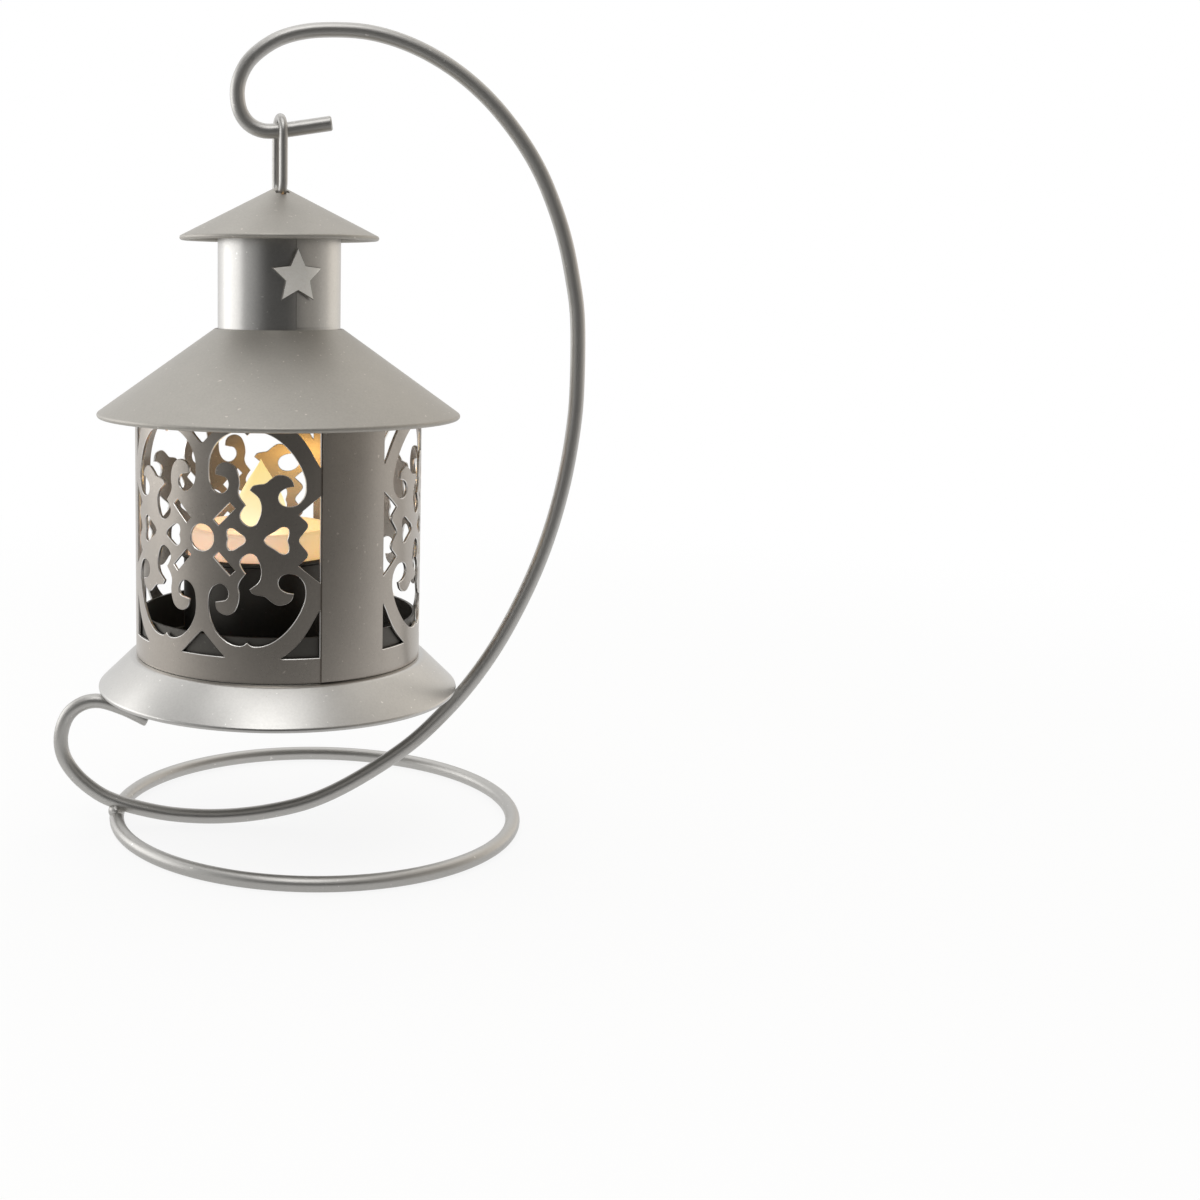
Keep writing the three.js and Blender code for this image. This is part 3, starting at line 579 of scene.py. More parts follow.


# Each plating has its slot, its tone and its cut edge's tone, as a finish and a share of it, and its
# settings. The roofs are rubbed duller. The chimney and the flare are lighter, with a little more gloss:
# their lighter tone is painted light. The pan and the cup are dark and dull: their dark tone is painted
# shade inside the lantern. The star is pale, and its dark cut edges are painted shade.
PLATINGS = {
    "satin_sheet": ("pewter_sheet", ("body", 1), ("cut_edge", 1), {}),
    "matt_sheet": ("pewter_sheet", ("sheet", 1), ("cut_edge", 1), {"roughness": 0.46, "metallic": 0.65}),
    # Painted light: the chimney and the flare take the lighter tone.
    "bright_sheet": ("pewter_sheet", ("bright", 1), ("cut_edge", 1), {"roughness": 0.31}),
    # Painted shade: the pan and the cup take the sheet's tone darkened to 0.28.
    "dull_sheet": ("pewter_sheet", ("sheet", 0.28), None, {"roughness": 0.5}),
    # Painted shade: the star's cut edges take half the sheet's tone, for the shadow and gap round the star.
    "light_sheet": ("pewter_sheet", ("sheet", 2.3), ("sheet", 0.5), {"roughness": 0.5, "metallic": 0.3}),
    "satin_wire": ("pewter_wire", ("wire", 1), None,
                   {"roughness": 0.36, "grain_depth": 0.12, "metallic": 0.85, "mottle": 0.1}),
}


def plated(piece, plating, body, *replaced):
    """Finishes a new piece with one of the platings."""
    slot, tone, edge, settings = PLATINGS[plating]
    held = bpy.context.scene.lantern_finish
    tone, edge = (part and scaled(getattr(held, part[0]), part[1]) for part in (tone, edge))
    settings = {"roughness": held.roughness, **settings}
    finish(piece, look(plating, plated_metal, tone, edge, **settings), body, slot, *replaced)


# The stand and the link

FLARE_SLOPE = math.radians(44)
LINK_TURN = math.radians(14)


def beside_tip(reach):
    """The point at a distance from the lantern's axis, along the link's turned plane."""
    return HANG_X - reach * math.sin(LINK_TURN), HANG_Y + reach * math.cos(LINK_TURN)


def stand_line(held):
    """The S wire's line in the lantern's upright plane, from the hook's tip over the crown, down the bow
    and round the foot: a smooth curve through points, each at a start plus a share of a span, and at a
    base plus a share of a climb."""
    sheet, rim_radius = sizes("lantern_sheet"), 48.9
    rim = rim_end(rim_radius, box_mm("base_skirt")[0][2], sheet["roof_bead"], sheet["sheet"], FLARE_SLOPE)[1]
    seat, crown, reach, ring, curl = held["seat"], held["crown"], held["bow"], held["ring"], held["curl"]
    rise, widest = crown - seat, held["bow_height"]
    tip, hook = 13.8, 11.3
    floor = held["wire"] / 2 + 0.3
    crossing = held["ring_wire"] + held["wire"] / 2 + 0.3
    passing = HANG_X + rim_radius + (held["wire"] / 2 + 1.5) / 0.8
    runs = [
        (HANG_X, tip, seat, 1, [(1, 2.0), (0.5, 0.96)]),
        (HANG_X, -hook, seat, rise, [
            (0, 0), (0.38, -0.004), (0.7, 0.054), (0.91, 0.168), (1, 0.33), (0.965, 0.49), (0.77, 0.665),
            (0.46, 0.797), (0.02, 0.91)]),
        (HANG_X, tip, seat, rise, [(0.43, 0.977), (1, 1)]),
        (0, reach, crown, -rise, [(0.19, 0.025), (0.342, 0.143)]),
        (0, reach, widest, crown - widest, [
            (0.494, 0.895), (0.629, 0.81), (0.746, 0.705), (0.833, 0.6), (0.894, 0.495), (0.94, 0.389),
            (0.971, 0.282), (0.993, 0.175), (1, 0)]),
        (0, reach, widest, rim - widest, [(0.993, 0.157), (0.949, 0.385), (0.864, 0.617), (0.73, 0.851)]),
        (0, passing, 0, rim, [(1, 1), (0.812, 0.768), (0.6, 0.557)]),
        (0, ring, 0, rim, [(0.179, 0.296), (-0.021, 0.166)]),
        (0, -ring, floor, 1, [(0.222, 1.6), (0.42, 0.15), (0.6, 0), (0.78, 1.0)]),
        (0, -ring, crossing, 1, [(1, 0.1)]),
        (0, -curl, crossing, held["curl_height"] - crossing, [
            (0.856, 0.086), (0.94, 0.26), (0.99, 0.455), (0.999, 0.655), (0.97, 0.86), (0.915, 0.97),
            (0.852, 1), (0.758, 0.935), (0.656, 0.815)]),
    ]
    return catmull_rom([(start + span * side, HANG_Y, base + climb * up)
                        for start, span, base, climb, shares in runs for side, up in shares], 1.2)


class LANTERN_OT_stand_wire(bpy.types.Operator):
    """The S wire: a round wire along one smooth line, cut square at both ends"""
    bl_idname = "lantern.stand_wire"
    bl_label = "Stand wire"

    def execute(self, context):
        held = sizes("lantern_stand")
        piece = swept("s_wire", stand_line(held), held["wire"] / 2, (0, 1, 0))
        plated(piece, "satin_wire", "stand", "bow_wire", "foot_wire")
        return {"FINISHED"}


class LANTERN_OT_ring_foot(bpy.types.Operator):
    """The ring foot and the weld that joins the S wire to it"""
    bl_idname = "lantern.ring_foot"
    bl_label = "Ring foot"

    def execute(self, context):
        held, steps = sizes("lantern_stand"), 220
        radius, half, angle = held["ring"], held["ring_wire"] / 2, full_turn(steps)
        line = np.stack([radius * np.cos(angle), radius * np.sin(angle), np.full(steps, half)], axis=1)
        plated(swept("ring_foot", line, half, (0, 0, 1), closed=True), "satin_wire", "stand", "base_ring")
        plated(self.weld(held), "satin_wire", "stand")
        return {"FINISHED"}

    def weld(self, held):
        """A blob of weld where the S wire crosses the ring: an ellipsoid whose radius swells and dips
        by two crossed waves."""
        down = np.linspace(0, math.pi, 26)[1:-1, None]
        around = full_turn(36)[None, :]
        swell = (1 + 0.04 * np.sin(3 * around + 1) * np.sin(2 * down)
                 + 0.03 * np.cos(5 * around) * np.sin(down) ** 2)
        half = np.array([2.3, 3.2, 2.2])
        ball = np.stack([np.sin(down) * np.cos(around), np.sin(down) * np.sin(around),
                         np.cos(down) * np.ones_like(around)], axis=-1) * swell[..., None] * half
        centre = np.array([-math.sqrt(held["ring"] ** 2 - HANG_Y ** 2), HANG_Y, held["ring_wire"]])
        top = np.array([0, 0, half[2]])
        return skin("ring_weld", ball + centre, [centre + top, centre - top])


class LANTERN_OT_hanging_link(bpy.types.Operator):
    """The link: an oval bent from wire whose ends meet in a seam on one leg, turned a little"""
    bl_idname = "lantern.hanging_link"
    bl_label = "Hanging link"

    def execute(self, context):
        held = sizes("lantern_stand")
        low, high = box_mm("hanging_loop")
        bend, wire, parting = held["link_bend"], held["link_wire"] / 2, 0.01
        top, bottom = high[2] - wire - bend, low[2] + wire + bend
        seam = (top + bottom) / 2
        arc = np.linspace(0, math.pi, 30)
        over = np.stack([bend * np.cos(arc), top + bend * np.sin(arc)], axis=1)
        under = np.stack([-bend * np.cos(arc), bottom - bend * np.sin(arc)], axis=1)
        flat = np.vstack([[bend, seam + parting], over, under, [bend, seam - parting]])
        line = evenly(np.column_stack([*beside_tip(flat[:, 0]), flat[:, 1]]), 0.5)
        piece = swept("link", line, wire, (math.cos(LINK_TURN), math.sin(LINK_TURN), 0), chamfer=0.03)
        plated(piece, "satin_wire", "link", "hanging_loop")
        return {"FINISHED"}


# The lantern


def lap_strip(name, radius, lap, start, sweep, low, high, sheet):
    """The raised end of a lapped sheet: a strip on the cylinder from the start angle, standing out by
    the lap there and dying into the sheet over its sweep as (1 - s) to the power 1.4."""
    part = np.linspace(0, 1, 40)
    clear, edge = 0.02, 0.12
    out = radius + lap * (1 - part) ** 1.4 + clear
    inner = np.full_like(part, radius - sheet / 2)
    profile_r = np.stack([inner, out - edge, out, out, out - edge, inner], axis=1)
    profile_z = np.array([low, low, low + edge, high - edge, high, high])
    angle = (start + part * sweep)[:, None]
    points = around_axis(HANG_X, profile_r, angle, profile_z).reshape(-1, 3)
    ends = [list(range(6)), list(range(len(points) - 6, len(points)))]
    return mesh_object(name, points, grid_faces(len(part), 6, False).tolist() + ends)


class LANTERN_OT_cap(bpy.types.Operator):
    """The cap: a cone with a rounded tip, a rolled rim and two holes for the link"""
    bl_idname = "lantern.cap"
    bl_label = "Cap"

    def execute(self, context):
        held = sizes("lantern_sheet")
        low, high = box_mm("cap_roof")
        sheet, bead = held["sheet"], held["cap_bead"]
        tip_z = high[2] - sheet / 2
        outer = half_width("cap_roof")
        slope = math.atan2(tip_z - low[2], outer)
        tip_radius = 4.0
        arc = np.linspace(0, slope, 8)
        tip = np.stack([tip_radius * np.sin(arc), tip_z - tip_radius * (1 - np.cos(arc))], axis=1)
        line = np.vstack([tip, rim_end(outer, low[2], bead, sheet, slope)])
        piece = turned("cap", sheet_section(line, sheet, bead), HANG_X, on_axis=True)
        self.cut_holes(piece, tip_z)
        plated(piece, "matt_sheet", "lantern", "cap_roof")
        return {"FINISHED"}

    def cut_holes(self, piece, tip_z):
        """Cuts the two rounded slots beside the tip."""
        from_tip, slot, corner = 3.35, (3.7, 3.9, 8.0), 1.2
        made = bmesh.new()
        for side in (1, -1):
            where = Matrix.Translation(Vector((*beside_tip(side * from_tip), tip_z)) * MM) @ Matrix.Rotation(
                LINK_TURN, 4, "Z")
            made_box = bmesh.ops.create_cube(made, size=1.0, matrix=where @ Matrix.Diagonal(
                (*(Vector(slot) * MM), 1)))
            upright = [edge for edge in made.edges if edge.verts[0] in made_box["verts"]
                       and abs(edge.verts[0].co.z - edge.verts[1].co.z) > MM]
            bmesh.ops.bevel(made, geom=upright, offset=corner * MM, segments=5, affect="EDGES")
        mesh = bpy.data.meshes.new("cap_holes")
        made.to_mesh(mesh)
        made.free()
        cutter = linked("cap_holes", mesh)
        cut = piece.modifiers.new("holes", "BOOLEAN")
        cut.operation, cut.solver, cut.object = "DIFFERENCE", "EXACT", cutter
        with bpy.context.temp_override(object=piece, active_object=piece):
            bpy.ops.object.modifier_apply(modifier=cut.name)
        bpy.data.objects.remove(cutter)
        piece.data.set_sharp_from_angle(angle=CREASE)


class LANTERN_OT_chimney(bpy.types.Operator):
    """The chimney: a tube with a lapped seam, and the star fixed beside it"""
    bl_idname = "lantern.chimney"
    bl_label = "Chimney and star"

    def execute(self, context):
        held = sizes("lantern_sheet")
        low, high = box_mm("chimney_tube")
        radius, sheet = held["chimney"], held["sheet"]
        line = [(radius - sheet / 2, low[2]), (radius - sheet / 2, high[2])]
        tube = turned("chimney", sheet_section(line, sheet), HANG_X)
        plated(tube, "bright_sheet", "lantern", "chimney_tube")
        lap, sweep, foot = 0.2, math.radians(50), low[2] + 1.9
        seam = lap_strip("chimney_lap", radius, lap, math.radians(SEAM_START), sweep, foot, high[2], sheet)
        plated(seam, "bright_sheet", "lantern")
        plated(self.star(held), "light_sheet", "lantern", "star_plate")
        return {"FINISHED"}

    def star(self, held):
        """The star, flat but for its right arm, which is bent back: w falls as 0.07 (u - 1.8) squared."""
        turn = TURN / 4 + full_turn(10)
        reach = np.where(np.arange(10) % 2 == 0, held["star"], held["star_waist"])
        corners = np.stack([reach * np.cos(turn), reach * np.sin(turn)], axis=1)
        points, faces = filled([polygon(corners, 0.5)], (0.6, 0.6))
        centre_z = box_mm("star_plate")[1][2] - held["star"]
        seat = held["chimney"] + held["lap"] + SEAT_GAP + held["sheet"] / 2
        angle = math.radians(SEAM_START)

        def place(u, v, w):
            depth = seat + w - 0.07 * np.maximum(u - 1.8, 0) ** 2
            return np.stack([HANG_X + depth * math.sin(angle) + u * math.cos(angle),
                             HANG_Y - depth * math.cos(angle) + u * math.sin(angle), centre_z + v], axis=1)

        return bent_sheet("star", points, faces, held["sheet"] / 2, held["cut"], place)


class LANTERN_OT_roof(bpy.types.Operator):
    """The main roof: a cone with a rolled rim"""
    bl_idname = "lantern.roof"
    bl_label = "Roof"

    def execute(self, context):
        held = sizes("lantern_sheet")
        low, high = box_mm("main_roof")
        sheet, bead, outer = held["sheet"], held["roof_bead"], half_width("main_roof")
        neck = (held["chimney"] + SEAT_GAP + 0.25, high[2] - sheet / 2)
        slope = math.atan2(neck[1] - low[2] - 2 * bead, outer - bead - neck[0])
        line = [neck, rim_end(outer, low[2], bead, sheet, slope)]
        piece = turned("roof", sheet_section(line, sheet, bead), HANG_X, around=240)
        plated(piece, "matt_sheet", "lantern", "main_roof")
        return {"FINISHED"}


SEAT_GAP = 0.3
SEAM_START = 17.0

# The windows' scrollwork, drawn for a quarter of a window on a grid of 31 columns by 30 rows, as in
# the part itself. A run is a smooth line through its points; runs meet at sharp corners.
WINDOW_HALF = (30.85, 30.1)
GRID = np.array(WINDOW_HALF) / (31, 30)
SCROLL = [
    [(13, 12.5), (13.9, 11.8), (15.2, 10.7), (15.9, 9.1), (15.9, 7.1), (15.3, 5.2), (14.5, 3.9), (13.3, 3.4),
     (12, 3.8), (10.9, 4.8), (10.5, 6), (11.1, 7.4), (12, 8.6)],
    [(12, 8.6), (10.5, 10.6), (10.1, 12), (10.4, 14), (10.1, 16.3), (9, 18.4), (7.1, 19.3), (5.1, 18.8),
     (4, 17.5), (3.9, 16.1)],
    [(3.9, 16.1), (5.3, 15.8), (6.8, 15.4), (7.5, 13.9), (6.9, 12.2), (5.3, 11.4), (3.5, 12.1), (2.3, 13.8),
     (1.9, 16.4), (2.2, 20), (3.9, 23.4), (6.4, 25.7), (9, 26.8), (11.3, 26.8), (12.35, 26)],
    [(12.35, 26), (13.5, 26.8), (15.4, 26.9), (18, 26.2), (21, 24.3), (23.8, 21.4), (26, 17.9), (27.2, 14.3),
     (26.9, 11.1), (25.2, 9), (23, 8.4), (21.1, 9), (20.3, 10.6), (20.9, 12.2), (22.4, 13.1), (24.3, 13.5)],
    [(24.3, 13.5), (23.6, 15.2), (22, 16.2), (20, 16.3), (18.3, 15.3), (16.9, 14.2), (15, 13.9), (13.7, 13.5),
     (13, 12.5)],
]
INNER_HEART = [[(7.35, 0), (7, 1.4), (7.4, 2.5), (8.4, 2.8), (10.2, 1.8), (11.7, 0.7), (12, 0), (11.7, -0.7),
                (10.2, -1.8), (8.4, -2.8), (7.4, -2.5), (7, -1.4), (7.35, 0)]]
OUTER_HEART = [[(16.7, 0), (17.3, 0.9), (19.4, 2.2), (21.4, 3.4), (22.7, 3), (22.9, 1.4), (22.5, 0),
                (22.9, -1.4), (22.7, -3), (21.4, -3.4), (19.4, -2.2), (17.3, -0.9), (16.7, 0)]]
TOOTH = [
    [(31, 10.9), (29.2, 9.5), (27.2, 7.9), (25.4, 6.4)],
    [(25.4, 6.4), (26.3, 5.6), (27.7, 4.2), (27.8, 3.3), (26.7, 1.8), (25.6, 0.3), (25.6, -0.3), (26.7, -1.8),
     (27.8, -3.3), (27.7, -4.2), (26.3, -5.6), (25.4, -6.4)],
    [(25.4, -6.4), (27.2, -7.9), (29.2, -9.5), (31, -10.9)],
    [(31, -10.9), (31, 10.9)],
]
CORNER = [[(20.9, 30), (23.2, 28.3), (25.8, 25.9), (28.2, 22.6), (29.8, 19.8), (31, 17.9)],
          [(31, 17.9), (31, 30)], [(31, 30), (20.9, 30)]]
MIDDLE = [[(-6.5, 30), (-3.4, 27), (-1.3, 24.9), (0, 23.9), (1.3, 24.9), (3.4, 27), (6.5, 30)],
          [(6.5, 30), (-6.5, 30)]]
WINDOWS = 3
WINDOW_PHASE = -28.4
WINDOW_MIDDLE = 6.3 + WINDOW_HALF[1]
BODY_SEAT = 0.22
HOLE_RADIUS = 3.45
SLOT = (6.4, 2.0, 8.9)


def run_outline(runs):
    return np.vstack([catmull_rom(np.array(run) * GRID, 0.5)[:-1] for run in runs])


def slot_outline():
    """A slot that points away from the round hole at 45 degrees."""
    length_mm, width, reach = SLOT
    corners = np.array([[1, 1], [-1, 1], [-1, -1], [1, -1]]) * [length_mm / 2, width / 2] + [reach, 0]
    spin = math.sqrt(0.5) * np.array([[1, -1], [1, 1]])
    return polygon(corners @ spin.T, 0.6)


def window_outlines():
    """Every hole of one window: the quarter's holes mirrored left to right, and top to bottom."""
    def mirror(outlines, across, up):
        return [outline * [x, y] for outline in outlines
                for x in ((1, -1) if across else (1,)) for y in ((1, -1) if up else (1,))]
    angle = full_turn(44)
    circle = HOLE_RADIUS * np.stack([np.cos(angle), np.sin(angle)], axis=1)
    return [circle, *mirror([slot_outline(), run_outline(SCROLL), run_outline(CORNER)], True, True),
            *mirror([run_outline(INNER_HEART), run_outline(OUTER_HEART), run_outline(TOOTH)], True, False),
            *mirror([run_outline(MIDDLE)], False, True)]


class LANTERN_OT_pierced_body(bpy.types.Operator):
    """The body: a rolled sheet with three windows of scrollwork, lapped on one of the bars between them"""
    bl_idname = "lantern.pierced_body"
    bl_label = "Pierced body"

    def execute(self, context):
        held = sizes("lantern_sheet")
        low, high = box_mm("body_sheet")
        radius, sheet = held["body"], held["sheet"]
        middle_z = low[2] + WINDOW_MIDDLE
        points, faces = self.pattern(radius, low[2] - BODY_SEAT - middle_z, high[2] - middle_z)

        phase = math.radians(WINDOW_PHASE)

        def place(u, v, w):
            """The flat pattern rolled up: its angle is the phase plus u / r, from the front towards +X."""
            return around_axis(HANG_X, radius - sheet / 2 + w, phase + u / radius, middle_z + v)

        piece = bent_sheet("pierced_body", points, faces, sheet / 2, held["cut"], place)
        plated(piece, "satin_sheet", "lantern", "body_sheet")
        half = math.degrees(WINDOW_HALF[0] / radius)
        margin = 0.5
        lap = lap_strip("body_lap", radius, held["lap"], math.radians(WINDOW_PHASE + half + margin),
                        math.radians(360 / WINDOWS - 2 * (half + margin)), low[2], high[2] - 0.5, sheet)
        plated(lap, "satin_sheet", "lantern")
        return {"FINISHED"}

    def pattern(self, radius, bottom, top):
        """The flat sheet: one window with half a bar on each side, filled once, laid side by side and
        joined where the copies meet."""
        width = TURN * radius / WINDOWS
        corners = np.array([[-width / 2, bottom], [width / 2, bottom], [width / 2, top], [-width / 2, top]])
        points, faces = filled([polygon(corners, 1.3), *window_outlines()], (1.3, 1.9))
        copies = np.vstack([points + [i * width, 0] for i in range(WINDOWS)])
        faces = np.vstack([faces + i * len(points) for i in range(WINDOWS)])
        around = np.round(copies[:, 0] + width / 2, 3) % round(width * WINDOWS, 3)
        key = np.stack([np.round(around, 2), np.round(copies[:, 1], 2)], axis=1)
        _, first, joined = np.unique(key, axis=0, return_index=True, return_inverse=True)
        return copies[first], joined.reshape(-1)[faces]


# The base and the candle


class LANTERN_OT_base(bpy.types.Operator):
    """The flared base, the pan on it that plugs into the body, and the cup for the candle"""
    bl_idname = "lantern.base"
    bl_label = "Base and cup"

    def execute(self, context):
        held = sizes("lantern_sheet")
        plated(self.skirt(held), "bright_sheet", "base", "base_skirt")
        # The pan and the cup are darkened for painted shade inside the lantern.
        plated(self.pan(held["sheet"]), "dull_sheet", "base", "base_pan")
        plated(self.cup(held["sheet"]), "dull_sheet", "base", "candle_cup")
        return {"FINISHED"}

    def skirt(self, held):
        low, high = box_mm("base_skirt")
        sheet, bead = held["sheet"], held["roof_bead"]
        flange = high[2] - sheet / 2
        rim = rim_end(half_width("base_skirt"), low[2], bead, sheet, FLARE_SLOPE)
        inner, shoulder = 27.0, 39.9
        line = rounded([(inner, flange), (shoulder, flange), rim], [1.6])
        return turned("base_flare", sheet_section(line, sheet, bead), HANG_X, around=240)

    def pan(self, sheet):
        low, high = box_mm("base_pan")
        floor, wall = low[2] + sheet / 2, half_width("base_pan") - sheet / 2
        section = sheet_section(rounded([(0, floor), (wall, floor), (wall, high[2])], [0.9]), sheet)
        return turned("pan", section, HANG_X, on_axis=True)

    def cup(self, sheet):
        low, high = box_mm("candle_cup")
        floor, wall, lip = low[2] + sheet / 2, 20.5, 0.7
        line = rounded([(0, floor), (wall, floor), (wall, high[2] - lip)], [1.6])
        return turned("cup", sheet_section(line, sheet, lip), CUP_X, on_axis=True, around=128)


class LANTERN_OT_candle(bpy.types.Operator):
    """The flameless candle: its waxy shell with a dished top, the moulded flame, and what is inside"""
    bl_idname = "lantern.candle"
    bl_label = "Candle"

    def execute(self, context):
        held = context.scene.lantern_finish
        finish(self.shell(), look("peach_wax", peach_wax, tuple(held.wax), tuple(held.warmth)), "candle",
               "candle_wax", "candle_shell")
        finish(self.flame(), look("flame_light", flame_light, tuple(held.glow)), "candle", "flame",
               "flame_tip")
        white = look("white_moulding", moulded, (0.86, 0.84, 0.79))
        clear = look("lamp_lens", moulded, (0.95, 0.88, 0.66), 0.2)
        steel = look("cell_steel", moulded, (0.72, 0.73, 0.74), 0.28, 1.0, 0.0003)
        green = look("board_lacquer", moulded, (0.05, 0.24, 0.12), 0.35)
        inner = {"bottom_plate": white, "battery_door": white, "switch_slider": white, "lamp_post": white,
                 "lamp": clear, "coin_cell": steel, "cell_contact": steel, "circuit_board": green}
        for node, material in inner.items():
            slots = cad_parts[node].data.materials
            slots.clear()
            slots.append(material)
        self.glow(held)
        return {"FINISHED"}

    def glow(self, held):
        """A small warm lamp behind the flame, for the metal round it. It goes with the candle."""
        power, radius = 0.004, 4
        lamp = bpy.data.lights.new("flame_glow", "POINT")
        lamp.energy, lamp.color, lamp.shadow_soft_size = power, tuple(held.lamplight), radius * MM
        bulb = linked("flame_glow", lamp)
        bulb.location = Vector((CUP_X, HANG_Y + 11, box_mm("flame_tip")[1][2] - 5)) * MM
        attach(bulb, "candle")

    def shell(self):
        """The shell's section: outer wall, rounded rim, dished top down to the flame's hole, and inside."""
        (*_, bottom), (*_, top) = box_mm("candle_shell")
        radius = half_width("candle_shell")
        wall, dish, hole = 1.3, 2.4, 3.9
        outer = rounded([(radius, bottom), (radius, top), (radius - 2.2, top - 0.2),
                         (radius - 5.0, top - dish), (hole, top - dish)], [1.0, 1.2, 2.5])
        inner = [(hole, top - dish - wall), (radius - wall, top - dish - wall), (radius - wall, bottom)]
        return turned("candle_shell_wax", np.vstack([outer, inner]), CUP_X, around=128)

    def flame(self):
        """The flame: r is its radius times sin t sin(t / 2) to the power 1.5, over the peak of these, from
        its tip at t = 0 down to its neck."""
        (*_, low), (*_, high) = box_mm("flame_tip")
        neck, height, radius = 3.6, 20.5, 6.9
        t = np.linspace(0, math.pi, 90)
        peak = 0.7
        outline = np.stack([radius / peak * np.sin(t) * np.sin(t / 2) ** 1.5,
                            high - height / 2 * (1 - np.cos(t))], axis=1)
        outline = outline[(t < 2) | (outline[:, 0] > neck)]
        section = np.vstack([outline, [[neck, outline[-1, 1] - 0.2], [neck, low], [0, low]]])
        return turned("flame", section, CUP_X, around=96, on_axis=True)


# The stage

CAMERA_PLACE = (0.916, -438.51, 150.70)
CAMERA_YAW = -0.011
CAMERA_PITCH = 6.396
CAMERA_ROLL = 0.389
FOCAL_PIXELS = 1603.6
PHOTO_PIXELS = 1200
CENTRE_PIXEL = (320, 460)
SENSOR = 36.0


def pale_floor(shader):
    """Pale floor that camera and clear rays see almost white, with the object's shadow near it.
    Mirror rays see it glow as painted light, dark in front and almost white behind.
    """
    matt = shader.add("ShaderNodeBsdfDiffuse", inputs={
        "Color": shader.tint(shader.noise(0.4), (0.86, 0.86, 0.85), (0.90, 0.90, 0.89))}, output="BSDF")
    seen = shader.ray("Camera") + shader.ray("Transmission")
    mirror = shader.ray("Glossy")
    lit = shader.axis("Y").step(-0.34, 0.06) * 0.87 + 0.08
    white = shader.add("ShaderNodeEmission", inputs={"Color": (1, 1, 1, 1), "Strength": seen + mirror * lit})
    reach = shader.add("ShaderNodeVectorMath", {"operation": "LENGTH"}, {0: shader.place()}, "Value")
    factor = seen * (reach.step(0.2, 0.6) * 0.12 + 0.88) + mirror * 0.9
    shader.surface(shader.add("ShaderNodeMixShader", inputs={0: factor, 1: matt, 2: white}))


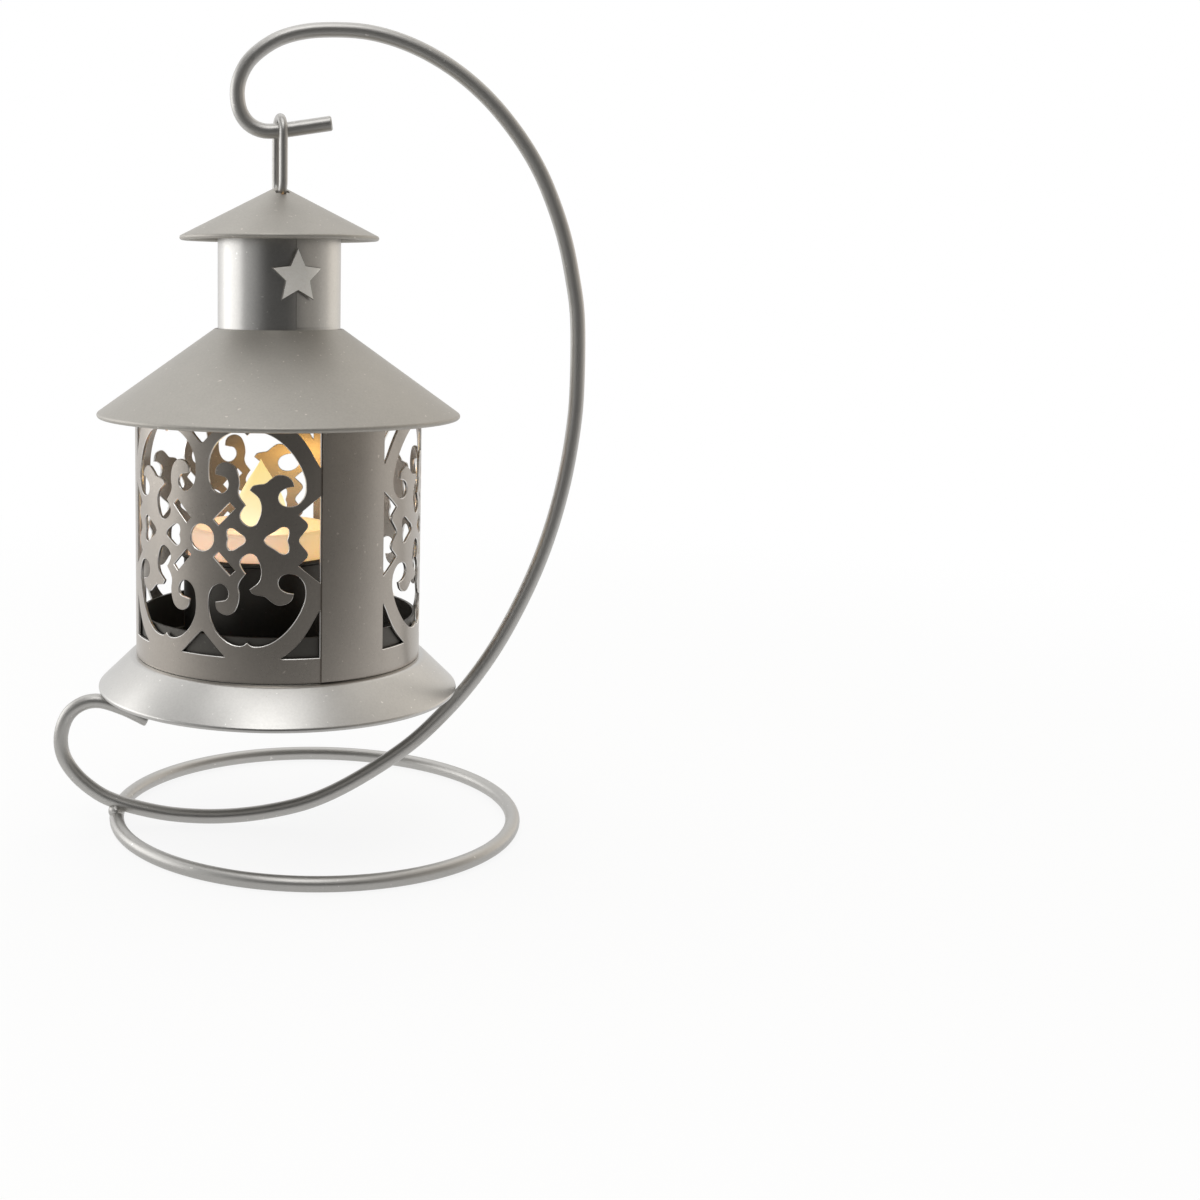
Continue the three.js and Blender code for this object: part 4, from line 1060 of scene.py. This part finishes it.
class LANTERN_OT_stage(bpy.types.Operator):
    """The floor, the soft studio light, the white background and the camera"""
    bl_idname = "lantern.stage"
    bl_label = "Stage"

    def execute(self, context):
        self.floor()
        self.world(context)
        self.lamps()
        self.camera(context)
        context.scene.view_settings.view_transform = "Standard"
        return {"FINISHED"}

    def floor(self):
        """A wide disc just below the object's foot."""
        sides, reach, level = 96, 1600, -0.05
        angle = full_turn(sides)
        rim = np.stack([reach * np.cos(angle), reach * np.sin(angle), np.full(sides, level)], axis=1)
        floor = mesh_object("floor", rim, [list(range(sides))])
        floor.data.materials.append(look("pale_floor", pale_floor))

    def world(self, context):
        """White for the camera. For light and reflections a studio: white behind the object and above it,
        a lit wall to each side, the right one a little warm, and dark from the camera's side at its own
        height."""
        world = bpy.data.worlds.new("studio")
        context.scene.world = world
        shader = Shader(world)
        way = shader.add("ShaderNodeTexCoord", output="Generated")
        aside, behind, above = (shader.axis(name, way) for name in "XYZ")
        level_way = 1 - above.step(0.25, 0.7)
        level = (0.07 + behind.step(-0.25, 0.6) * 0.85 + above.step(0.4, 0.85) * 0.55
                 + ((0 - aside).step(0.35, 0.9) * 0.6 + aside.step(0.35, 0.9) * 0.4) * level_way)
        seen = shader.ray("Camera")
        tint = shader.tint(aside.step(0.0, 0.9) * (1 - seen), (1.0, 1.0, 1.0), (1.0, 0.94, 0.86))
        strength = seen + (1 - seen) * level
        sky = shader.add("ShaderNodeBackground", inputs={"Color": tint, "Strength": strength})
        shader.surface(sky, "ShaderNodeOutputWorld")

    def lamps(self):
        """Soft boxes: a large one to the left, a key high in front, and a wide one overhead,
        nearer the camera."""
        for name, place, size, power in (("left", (-0.85, 0.1, 0.2), (0.8, 0.8), 2.3),
                                         ("key", (-0.15, -0.62, 1.0), (0.5, 0.5), 1.5),
                                         ("top", (-0.1, -0.2, 1.1), (0.9, 0.45), 1.3)):
            lamp = bpy.data.lights.new(name, "AREA")
            lamp.shape, lamp.size, lamp.size_y, lamp.energy = "RECTANGLE", *size, power
            box = linked(name, lamp)
            aim = Vector((-0.01, 0, 0.1)) - Vector(place)
            box.matrix_world = Matrix.Translation(place) @ aim.to_track_quat("-Z", "Y").to_matrix().to_4x4()

    def camera(self, context):
        """The camera at the photograph's place: yaw, then pitch, then roll about its own line of sight."""
        yaw, pitch, roll = (math.radians(value) for value in (CAMERA_YAW, CAMERA_PITCH, CAMERA_ROLL))
        ahead = Vector((math.sin(yaw) * math.cos(pitch), math.cos(yaw) * math.cos(pitch), -math.sin(pitch)))
        right = Vector((math.cos(yaw), -math.sin(yaw), 0))
        up = right.cross(ahead)
        right, up = right * math.cos(roll) + up * math.sin(roll), up * math.cos(roll) - right * math.sin(roll)
        data = bpy.data.cameras.new("camera")
        data.sensor_width = SENSOR
        data.lens = FOCAL_PIXELS * SENSOR / PHOTO_PIXELS
        data.shift_x = 0.5 - CENTRE_PIXEL[0] / PHOTO_PIXELS
        data.shift_y = CENTRE_PIXEL[1] / PHOTO_PIXELS - 0.5
        data.clip_start = 0.01
        camera = linked("camera", data)
        turn = Matrix((right, up, -ahead)).transposed().to_4x4()
        camera.matrix_world = Matrix.Translation(Vector(CAMERA_PLACE) * MM) @ turn
        context.scene.camera = camera


class LANTERN_PT_panel(bpy.types.Panel):
    """Lists the pieces and the sizes and finishes they are made with"""
    bl_idname = "LANTERN_PT_panel"
    bl_label = "Hanging lantern"
    bl_space_type = "VIEW_3D"
    bl_region_type = "UI"
    bl_category = "Lantern"

    def draw(self, context):
        for group, kind in GROUPS.items():
            box = self.layout.box()
            for name in kind.__annotations__:
                box.prop(getattr(context.scene, group), name)
        for operator in OPERATORS:
            self.layout.operator(operator.bl_idname)


OPERATORS = (LANTERN_OT_stand_wire, LANTERN_OT_ring_foot, LANTERN_OT_hanging_link, LANTERN_OT_cap,
             LANTERN_OT_chimney, LANTERN_OT_roof, LANTERN_OT_pierced_body, LANTERN_OT_base,
             LANTERN_OT_candle, LANTERN_OT_stage)
CLASSES = (*GROUPS.values(), *OPERATORS, LANTERN_PT_panel)


def register():
    for kind in CLASSES:
        bpy.utils.register_class(kind)
    for group, kind in GROUPS.items():
        setattr(bpy.types.Scene, group, bpy.props.PointerProperty(type=kind))


def unregister():
    for group in GROUPS:
        delattr(bpy.types.Scene, group)
    for kind in reversed(CLASSES):
        bpy.utils.unregister_class(kind)


def main():
    register()
    for operator in OPERATORS:
        group, name = operator.bl_idname.split(".")
        getattr(getattr(bpy.ops, group), name)()


if __name__ == "__main__":
    main()
